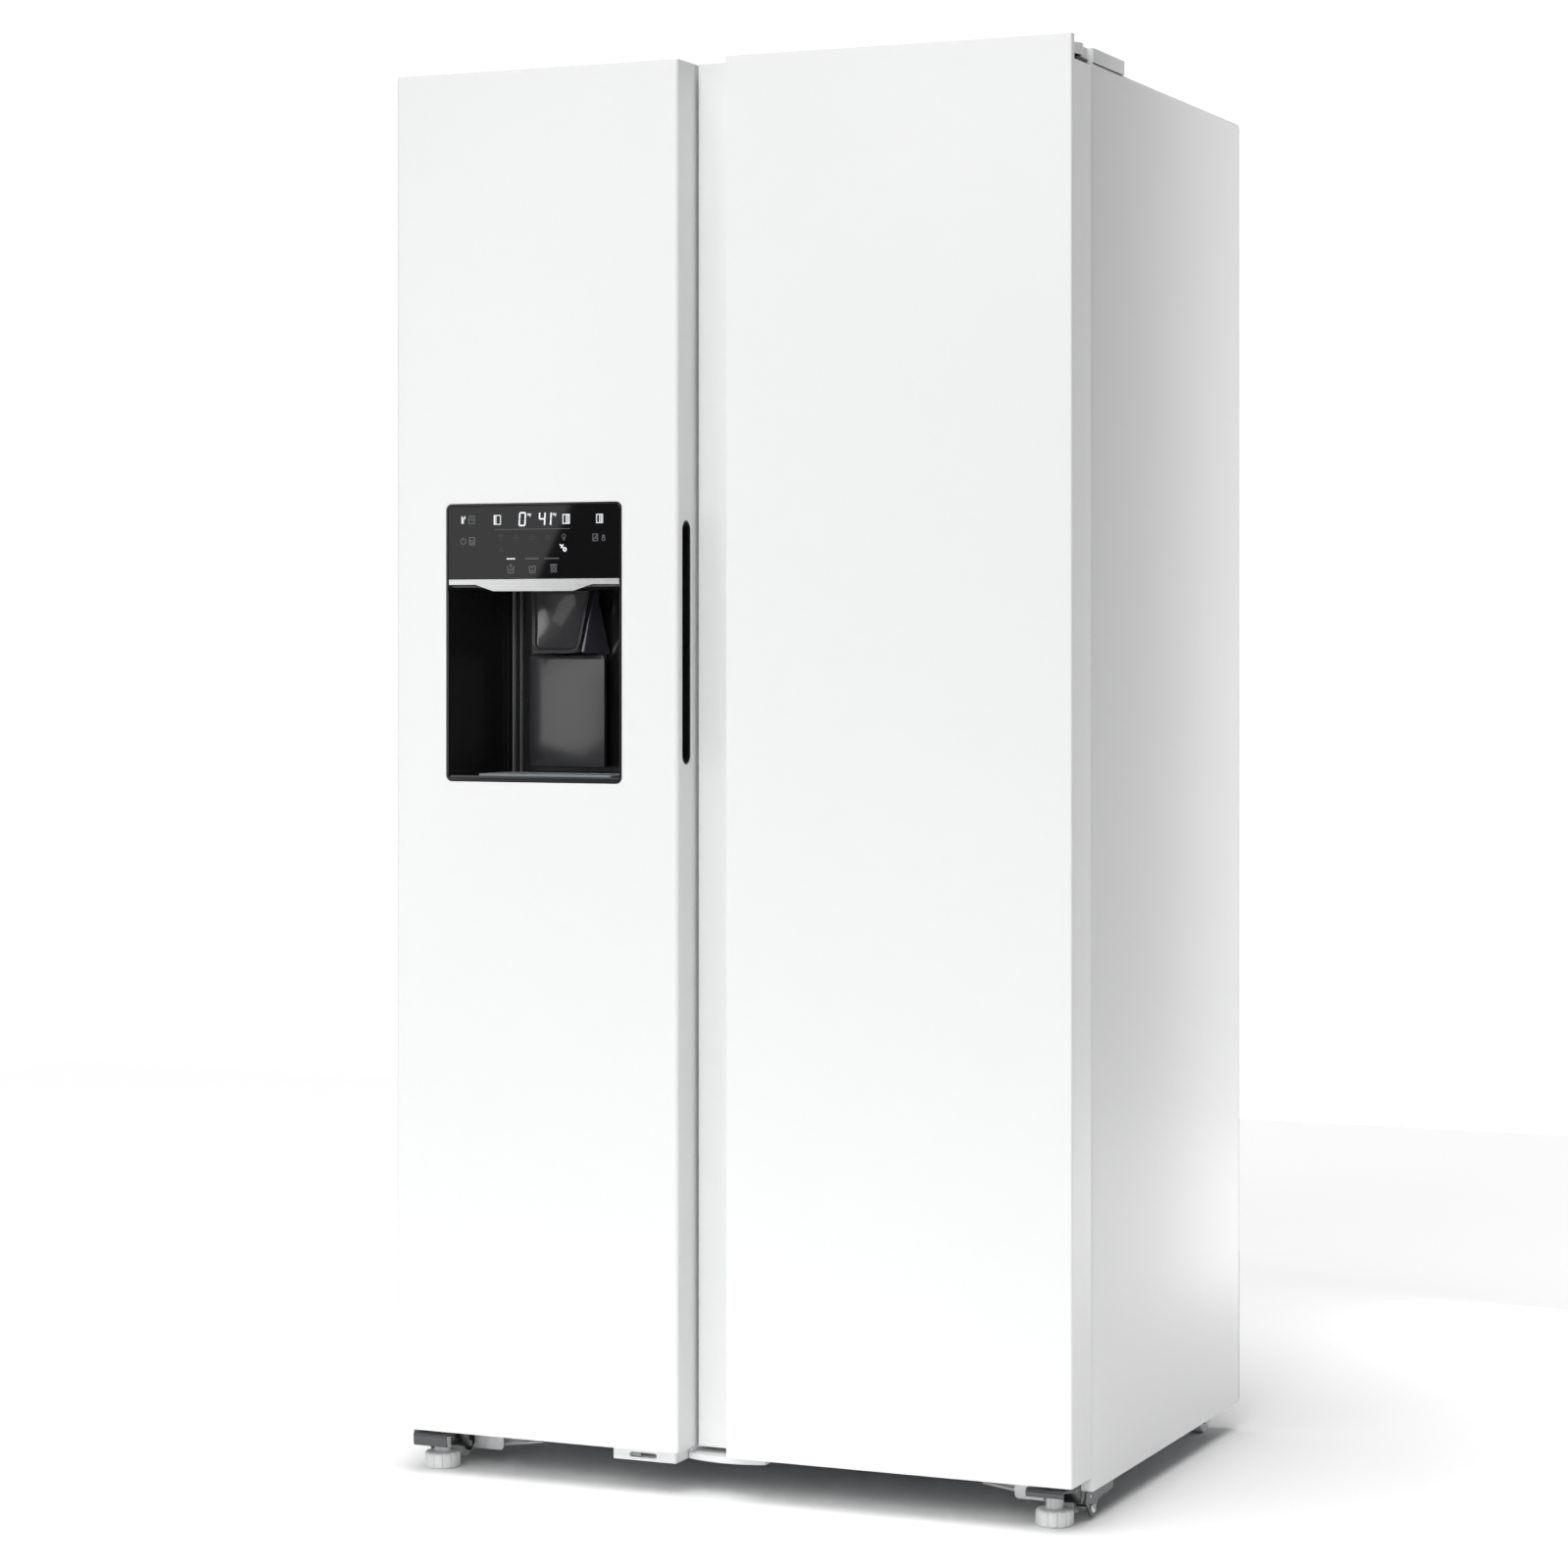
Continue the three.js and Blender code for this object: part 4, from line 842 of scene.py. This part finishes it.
def roller(prefix, label):
    node = f"{prefix}_roller_{label}"
    (x0, y0, z0), (x1, y1, z1) = in_mm(node)
    x, y, z = (x0 + x1) / 2, (y0 + y1) / 2, (z0 + z1) / 2
    radius, half = (z1 - z0) / 2, (x1 - x0) / 2
    tread = half - 5.0
    bm = bmesh.new()
    outer_half = [
        (radius - 0.8, 2.0), (radius, 2.6), (radius, tread - 0.9), (radius - 0.9, tread),
        (radius - 3.2, tread - 0.2), (7.9, tread - 0.2), (7.5, tread - 1.3), (3.9, tread - 1.5), (3.9, half),
    ]
    inner_half = [(reach, -along) for reach, along in reversed(outer_half)]
    spun(bm, inner_half + outer_half, (x, y, z), "x", 48)
    finished(f"{node}_wheel", bm, node, "white_plastic", [node], sharp=30)


def behind_front(outline):
    """Turns depths behind the front face into y."""
    return [(FRONT + depth, z) for depth, z in outline]


def bottom_hinge_trim(label, side, lip_low):
    """Folded lips, bolts, roller ears and the guard of a bottom hinge."""
    bm = bmesh.new()
    lip = [
        (27, 48.8), (20, 48.8), *arc((20, 43.8), 5.0, 90, 180, 7), (15.6, lip_low + 1),
        *arc((17.6, lip_low), 1.6, 160, 350, 6), (17.8, lip_low + 3.0),
        *arc((20.4, 43.4), 2.8, 180, 90, 6), (27, 46.2),
    ]
    near, far = sorted((side * 391.0, side * 438.5))
    slab(bm, behind_front(lip), near, far, "yz")
    soften(finished(f"hinge_lip_{label}", bm, "cabinet", "steel"), 0.5, 3)
    bm = bmesh.new()
    outer = side * 448.4
    screw_head(bm, (outer, FRONT + 94, 13.5), "x", 5.4, side * 3.6)
    spun(bm, [(3.6, -9.0), (3.6, 9.0)], (side * 438.5, FRONT + 94, 13.5), "x", 20)
    screw_head(bm, (outer, FRONT + 86, 30), "x", 2.2, side * 1.2)
    for px, py in ((405, 60), (431, 58), (402, 30)):
        screw_head(bm, (side * px, FRONT + py, 43.9), "z", 3.4, -2.2)
    finished(f"hinge_bolts_{label}", bm, "cabinet", "steel", material=bright_zinc)
    bm = bmesh.new()
    ear = [
        (72, 36.4), (70, 24.0), *arc((94, 13.5), 10.5, 205, 335, 9), (112, 17.0),
        (122, 21.0), (166, 23.0), *arc((167, 29.0), 6.0, 280, 440, 8), (160, 36.4),
    ]
    near, far = sorted((side * 445.6, side * 448.5))
    slab(bm, behind_front(ear), near, far, "yz")
    soften(finished(f"roller_ear_{label}", bm, "cabinet", "steel"), 0.8, 3)
    bm = bmesh.new()
    inner, outer = sorted((side * 349.0, side * 391.5))
    corner = [6.0, 1.0, 1.0, 1.0] if side > 0 else [1.0, 6.0, 1.0, 1.0]
    slab(bm, rounded_outline((inner, 17.0), (outer, 40.0), corner), FRONT + 92, FRONT + 94.5)
    cuboid(bm, (inner, FRONT + 92, 38.0), (outer, FRONT + 118, 40.5))
    guard = finished(f"hinge_guard_{label}", bm, "cabinet", "galvanised_steel", material=pale_zinc)
    soften(guard, 0.7)
    bm = bmesh.new()
    rail = [(side * 391.0, 20.0), (side * 391.0, 33.0), (side * 300.0, 33.0), (side * 296.0, 29.5)]
    slab(bm, rail, FRONT + 112, FRONT + 116)
    rail = [(side * 391.0, 15.0), (side * 391.0, 20.5), (side * 304.0, 30.0), (side * 300.0, 27.4)]
    slab(bm, rail, FRONT + 109, FRONT + 112)
    soften(finished(f"toe_rail_{label}", bm, "cabinet", "white_plastic"), 0.8)


def hinge_cover(label, side):
    """The moulded cover over a top hinge, with a domed nose over the pin."""
    refined(f"hinge_cover_{label}", 1.6, 4)
    bm = bmesh.new()
    place = (side * 435.0, FRONT + 37.0, 1769.6)
    screw_head(bm, (side * 405.0, FRONT + 170.0, 1769.8), "z", 3.2, 1.4)
    spun(bm, [(7.0, -0.4), (6.6, 0.5), (5.0, 0.9), (1.0, 1.0)], place, "z", 32)
    finished(f"cover_fixings_{label}", bm, "cabinet", "white_plastic")


def cabinet_edges():
    """The folded front edge of each cabinet side, a thin round that catches the light."""
    bm = bmesh.new()
    for side in (-1, 1):
        fold = [(451.6, 76.6), (451.6, 73.0), *arc((451.9, 75.6), 3.0, 275, 360, 8), (454.9, 76.6)]
        outline = [(side * x, FRONT + depth) for x, depth in fold]
        slab(bm, outline, 56.0, 1752.0, "xy")
    finished("cabinet_edges", bm, "cabinet", "white_enamel", sharp=60)


# ---- Doors, gaskets and grip --------------------------------------------------


def door_gasket(door):
    """A magnetic seal: a flat base, a folded bellows and a soft face."""
    (x0, y0, z0), (x1, y1, z1) = in_mm(f"{door}_gasket")
    bm = bmesh.new()
    depth = y1 - y0
    profile = [
        (2.0, 0.0), (1.0, 0.3), (0.6, 0.5), (3.0, 0.62), (0.3, 0.78), (0.2, 0.92), (1.2, 1.0),
        (12.5, 1.0), (13.6, 0.9), (13.0, 0.72), (15.0, 0.6), (14.6, 0.4), (17.0, 0.3), (17.0, 0.0),
    ]
    band(bm, (x0, z0), (x1, z1), [7.0] * 4, [(inset, y0 + part * depth) for inset, part in profile], "xz")
    finished(f"{door}_seal", bm, door, "gasket_rubber", [f"{door}_gasket"], sharp=60)


def handle_frame():
    """The beaded rim around the handle slot in the freezer door's side."""
    (_, y0, z0), (x1, y1, z1) = in_mm("handle_pocket")
    bm = bmesh.new()
    radius = (y1 - y0) / 2 - 0.01
    bead = [(0.0, 3), (0.0, 0.5), (0.5, 0.05), (1.4, 0.05), (1.9, 0.5), (1.9, 3)]
    profile = [(inset, x1 - sunk) for inset, sunk in bead]
    band(bm, (y0, z0), (y1, z1), [radius] * 4, profile, "yz", 12)
    finished("handle_rim", bm, "freezer_door", "dark_plastic", material=edge_plastic)


def guide_latch():
    """The catch inside the guide block's slot."""
    (x0, y0, z0), _ = in_mm("door_guide")
    bm = bmesh.new()
    cuboid(bm, (x0 + 24, y0 + 3.0, z0 + 4.6), (x0 + 37, y0 + 8.0, z0 + 9.4))
    soften(finished("guide_latch", bm, "freezer_door", "grey_plastic"), 0.6)


# ---- Inside -------------------------------------------------------------------


def glass_shelf(node, top_lip=5.0):
    """A tempered plate in a moulded frame with a raised front edge."""
    (x0, y0, z0), (x1, y1, z1) = in_mm(node)
    bm = bmesh.new()
    slab(bm, rounded_outline((x0 + 9, y0 + 10), (x1 - 9, y1 - 8), [5.0] * 4), z0 + 1.0, z1 - 1.2, "xy")
    soften(finished(f"{node}_glass", bm, "cabinet", "shelf_glass"), 0.6)
    bm = bmesh.new()
    profile = [
        (0.0, z0 + 0.8), (0.8, z0), (11.5, z0), (12.0, z0 + 0.5), (12.0, z1 - 1.4), (11.0, z1 - 0.6),
        (9.0, z1), (1.2, z1), (0.0, z1 - 1.2),
    ]
    band(bm, (x0, y0), (x1, y1), [6, 6, 2, 2], profile, "xy")
    finished(f"{node}_frame", bm, "cabinet", "white_plastic", [node], sharp=40)
    bm = bmesh.new()
    cuboid(bm, (x0 + 8, y0 + 2.0, z1 - 0.5), (x1 - 8, y0 + 6.0, z1 + top_lip))
    soften(finished(f"{node}_lip", bm, "cabinet", "silver_bar"), 1.4, 3)


def rolled_rim(node, radii, wall=2.5):
    """A soft bead round the top of a bin or drawer."""
    (x0, y0, _), (x1, y1, z1) = in_mm(node)
    if "drawer" in node or "crisper" in node:
        y0 += 10.0
    bm = bmesh.new()
    profile = [
        (0.0, z1 - 5.0), (0.0, z1 - 0.9), (0.9, z1), (wall + 0.8, z1), (wall + 1.7, z1 - 0.9),
        (wall + 1.7, z1 - 3.4), (wall + 0.9, z1 - 4.2), (wall - 0.4, z1 - 4.4), (wall - 0.4, z1 - 5.0),
    ]
    band(bm, (x0, y0), (x1, y1), radii, profile, "xy")
    finished(f"{node}_rim", bm, body_of_node[node], "clear_plastic", material=rim_plastic)


def drawer_front(node):
    """A handle lip along a drawer's front."""
    (x0, y0, _), (x1, _, z1) = in_mm(node)
    bm = bmesh.new()
    lip = arc((y0 + 2.0, z1 - 13.2), 2.0, 60, 250, 8)
    grip = [(y0 + 11, z1 - 11.5), (y0 + 4, z1 - 11.0), *lip, (y0 + 11, z1 - 16.5)]
    slab(bm, grip, x0 + 48, x1 - 48, "yz")
    soften(finished(f"{node}_grip", bm, node, "clear_plastic", material=rim_plastic), 0.5)


BLADE_SECTION = [
    (-1, 0), (-0.5, 0.9), (0.2, 1.1), (0.8, 0.6), (1, 0), (0.6, -0.3), (0, -0.6), (-0.6, -0.4),
]
HUB_SIDES = 32


def bladed_fan(node, axis, slot, blades=7):
    """Twisted blades on a domed hub."""
    (x0, y0, z0), (x1, y1, z1) = in_mm(node)
    centre = Vector(((x0 + x1) / 2, (y0 + y1) / 2, (z0 + z1) / 2))
    reach = (z1 - z0) / 2
    turn = Matrix.Identity(4) if axis == "x" else Matrix.Rotation(pi / 2, 4, "Z")
    bm = bmesh.new()
    hub = [(3.6, -10), (13.0, -10), (15.0, -8), (15.0, 7), (12.5, 9.6), (6.0, 10), (3.6, 10)]
    spun(bm, hub, (0, 0, 0), "x", HUB_SIDES)
    hub_verts = list(bm.verts)
    if axis == "y":
        bmesh.ops.transform(bm, matrix=turn, verts=hub_verts)
    for blade in range(blades):
        spin = Matrix.Rotation(2 * pi * blade / blades, 4, "X")
        loops = []
        for step in range(7):
            part = step / 6
            r = 13.0 + (reach - 14.5) * part
            chord = 11.0 + 9.0 * sin(pi * min(part + 0.15, 1.0))
            pitch = radians(48 - 24 * part)
            sweep = 8.0 * part ** 2
            section = []
            for along, v in BLADE_SECTION:
                u = along * chord / 2
                x = u * sin(pitch) * 0.62 + v * cos(pitch)
                y = u * cos(pitch) + sweep - v * sin(pitch)
                section.append(tuple(turn @ spin @ Vector((x, y, r))))
            loops.append(section)
        lofted(bm, loops)
    bmesh.ops.translate(bm, vec=centre, verts=bm.verts)
    finished(f"{node}_rotor", bm, node, slot, [node], sharp=45)


def compressor():
    """A welded steel shell with its seam, mounting feet and relay box."""
    (_, _, base), _ = in_mm("compressor")
    x, y = 260.0, 240.0
    bm = bmesh.new()
    shell = [
        (20, 13), (58, 14), (72, 20), (77, 32), (77.6, 62), (77.6, 70), (80.5, 70.5), (80.5, 74.5),
        (77.0, 75), (76.5, 84), (74, 100), (66, 118), (50, 131), (28, 139), (6, 141.5),
    ]
    spun(bm, shell, (x, y, base), "z", 56)
    slab(bm, rounded_outline((x - 95, y - 60), (x + 95, y + 60), [14] * 4), base + 8, base + 13, "xy")
    for dx in (-78, 78):
        for dy in (-44, 44):
            spun(bm, [(11, 0), (12.5, 3), (10, 5), (12.5, 7), (11, 8.5)], (x + dx, y + dy, base), "z", 24)
    finished("compressor_shell", bm, "cabinet", "black_steel", ["compressor"], sharp=40)
    bm = bmesh.new()
    slab(bm, rounded_outline((y - 25, base + 40), (y + 25, base + 90), [6] * 4), x - 110, x - 74, "yz")
    soften(finished("compressor_relay", bm, "cabinet", "dark_plastic"), 2.0, 3)


def rear_fixings():
    """Screws around the back panel and the machine cover."""
    bm = bmesh.new()
    for side in (-1, 1):
        for z in (300, 620, 940, 1260, 1580):
            screw_head(bm, (side * 440, 340.6, z), "y", 4.2, 0.4)
        for x, z in ((438, 70), (438, 215), (200, 228), (60, 228)):
            screw_head(bm, (side * x, 340.6, z), "y", 4.2, 0.4)
    finished("rear_screws", bm, "cabinet", "steel", material=bright_zinc)


def build_pieces():
    for node, width in SOFTENED.items():
        refined(node, width)
    control_glass()
    display_marks()
    recess_details()
    ice_spout()
    push_pad()
    for label, side in (("left", -1), ("right", 1)):
        place = levelling_foot(label)
        threaded_stud(label, *place)
        roller("front", label)
        roller("rear", label)
        bottom_hinge_trim(label, side, 33.0 if side < 0 else 40.0)
        hinge_cover(label, side)
    for door in ("freezer_door", "fridge_door"):
        door_gasket(door)
    cabinet_edges()
    handle_frame()
    guide_latch()
    for node in ("freezer_shelf_upper", "freezer_shelf_lower", "fridge_shelf_upper", "fridge_shelf_lower",
                 "crisper_cover"):
        glass_shelf(node)
    for node in ("freezer_drawer_upper", "freezer_drawer_lower", "crisper_upper", "crisper_lower"):
        rolled_rim(node, [8, 8, 1, 1])
        drawer_front(node)
    for node in ("freezer_bin_upper", "freezer_bin_lower", "fridge_bin_upper", "fridge_bin_middle",
                 "fridge_bin_lower"):
        rolled_rim(node, [1, 1, 14, 14])
    bladed_fan("condenser_fan", "x", "black_steel")
    bladed_fan("evaporator_fan", "y", "grey_plastic")
    compressor()
    rear_fixings()


# ---- Studio -------------------------------------------------------------------

CAMERA_PLACE = (1.9548, front - 4.3112, 1.0546)
CAMERA_TURN = 0.4094
CAMERA_LENS = 88.45
HORIZON_SHIFT = -0.0893
AMBIENT = 0.12
BACKDROP = 1.05
FLOOR_REACH = 3.6


def add_camera():
    """A long lens at the height of the dispenser, turned towards the right side."""
    data = bpy.data.cameras.new("camera")
    data.lens = CAMERA_LENS
    data.sensor_width = 36.0
    data.shift_y = HORIZON_SHIFT
    data.clip_end = 200.0
    camera = bpy.data.objects.new("camera", data)
    camera.location = CAMERA_PLACE
    camera.rotation_euler = (pi / 2, 0.0, CAMERA_TURN)
    bpy.context.scene.collection.objects.link(camera)
    bpy.context.scene.camera = camera


def add_light(name, kind, energy, place, target, size=1.0, size_y=None, turn=0.0):
    data = bpy.data.lights.new(name, kind)
    data.energy = energy
    if kind == "SUN":
        data.angle = radians(size)
    else:
        data.shape = "RECTANGLE"
        data.size = size
        data.size_y = size_y or size
    light = bpy.data.objects.new(name, data)
    light.location = place
    aim = (Vector(target) - Vector(place)).to_track_quat("-Z", "Y").to_matrix().to_4x4()
    light.rotation_euler = (aim @ Matrix.Rotation(turn, 4, "Z")).to_euler()
    light.visible_camera = False
    bpy.context.scene.collection.objects.link(light)


def add_world():
    """Dim surroundings for the light, with a white backdrop behind the object."""
    world = bpy.data.worlds.new("studio")
    bpy.context.scene.world = world
    world.use_nodes = True
    tree = world.node_tree
    around = tree.nodes["Background"]
    around.inputs["Color"].default_value = (1.0, 1.0, 1.0, 1.0)
    around.inputs["Strength"].default_value = AMBIENT
    backdrop = tree.nodes.new("ShaderNodeBackground")
    backdrop.inputs["Color"].default_value = (1.0, 1.0, 1.0, 1.0)
    backdrop.inputs["Strength"].default_value = BACKDROP
    choose = tree.nodes.new("ShaderNodeMixShader")
    seen = tree.nodes.new("ShaderNodeLightPath")
    tree.links.new(seen.outputs["Is Camera Ray"], choose.inputs["Fac"])
    tree.links.new(around.outputs["Background"], choose.inputs[1])
    tree.links.new(backdrop.outputs["Background"], choose.inputs[2])
    tree.links.new(choose.outputs["Shader"], tree.nodes["World Output"].inputs["Surface"])


def add_floor():
    bm = bmesh.new()
    bmesh.ops.create_grid(bm, x_segments=2, y_segments=2, size=FLOOR_REACH)
    mesh = bpy.data.meshes.new("studio_floor")
    bm.to_mesh(mesh)
    bm.free()
    floor = bpy.data.objects.new("studio_floor", mesh)
    floor.location = (0.0, 0.0, -0.0002)
    floor.data.materials.append(studio_floor())
    bpy.context.scene.collection.objects.link(floor)


def away(azimuth, elevation, distance=6.0):
    """A place seen from the middle of the object; azimuth 0 is straight ahead of the doors."""
    flat = distance * cos(radians(elevation))
    turn = radians(azimuth)
    return (flat * sin(turn), -flat * cos(turn), 0.9 + distance * sin(radians(elevation)))


def add_lights():
    """Two suns, a softbox for the upper fronts, one for the side and a card seen in the glass."""
    middle = (0.0, 0.0, 0.9)
    add_light("overhead_sun", "SUN", 2.8, away(-20, 76), middle, size=56)
    add_light("front_sun", "SUN", 0.66, away(4, 24), middle, size=34)
    add_light("upper_softbox", "AREA", 10, (0.0, -2.4, 2.4), (0.0, -0.35, 1.7), size=1.4)
    add_light("side_softbox", "AREA", 6, (0.78, 1.35, 0.95), (0.455, 0.3, 0.9), size=0.35, size_y=2.6)
    add_light("glass_card", "AREA", 10, (-2.127, -3.2, 1.493), (-2.127, -0.3, 1.493), size=1.0, size_y=2.2,
              turn=radians(-26.6))


def main():
    view = bpy.context.scene.view_settings
    view.view_transform = "Standard"
    paint_cad_nodes()
    build_pieces()
    add_camera()
    add_world()
    add_floor()
    add_lights()


main()
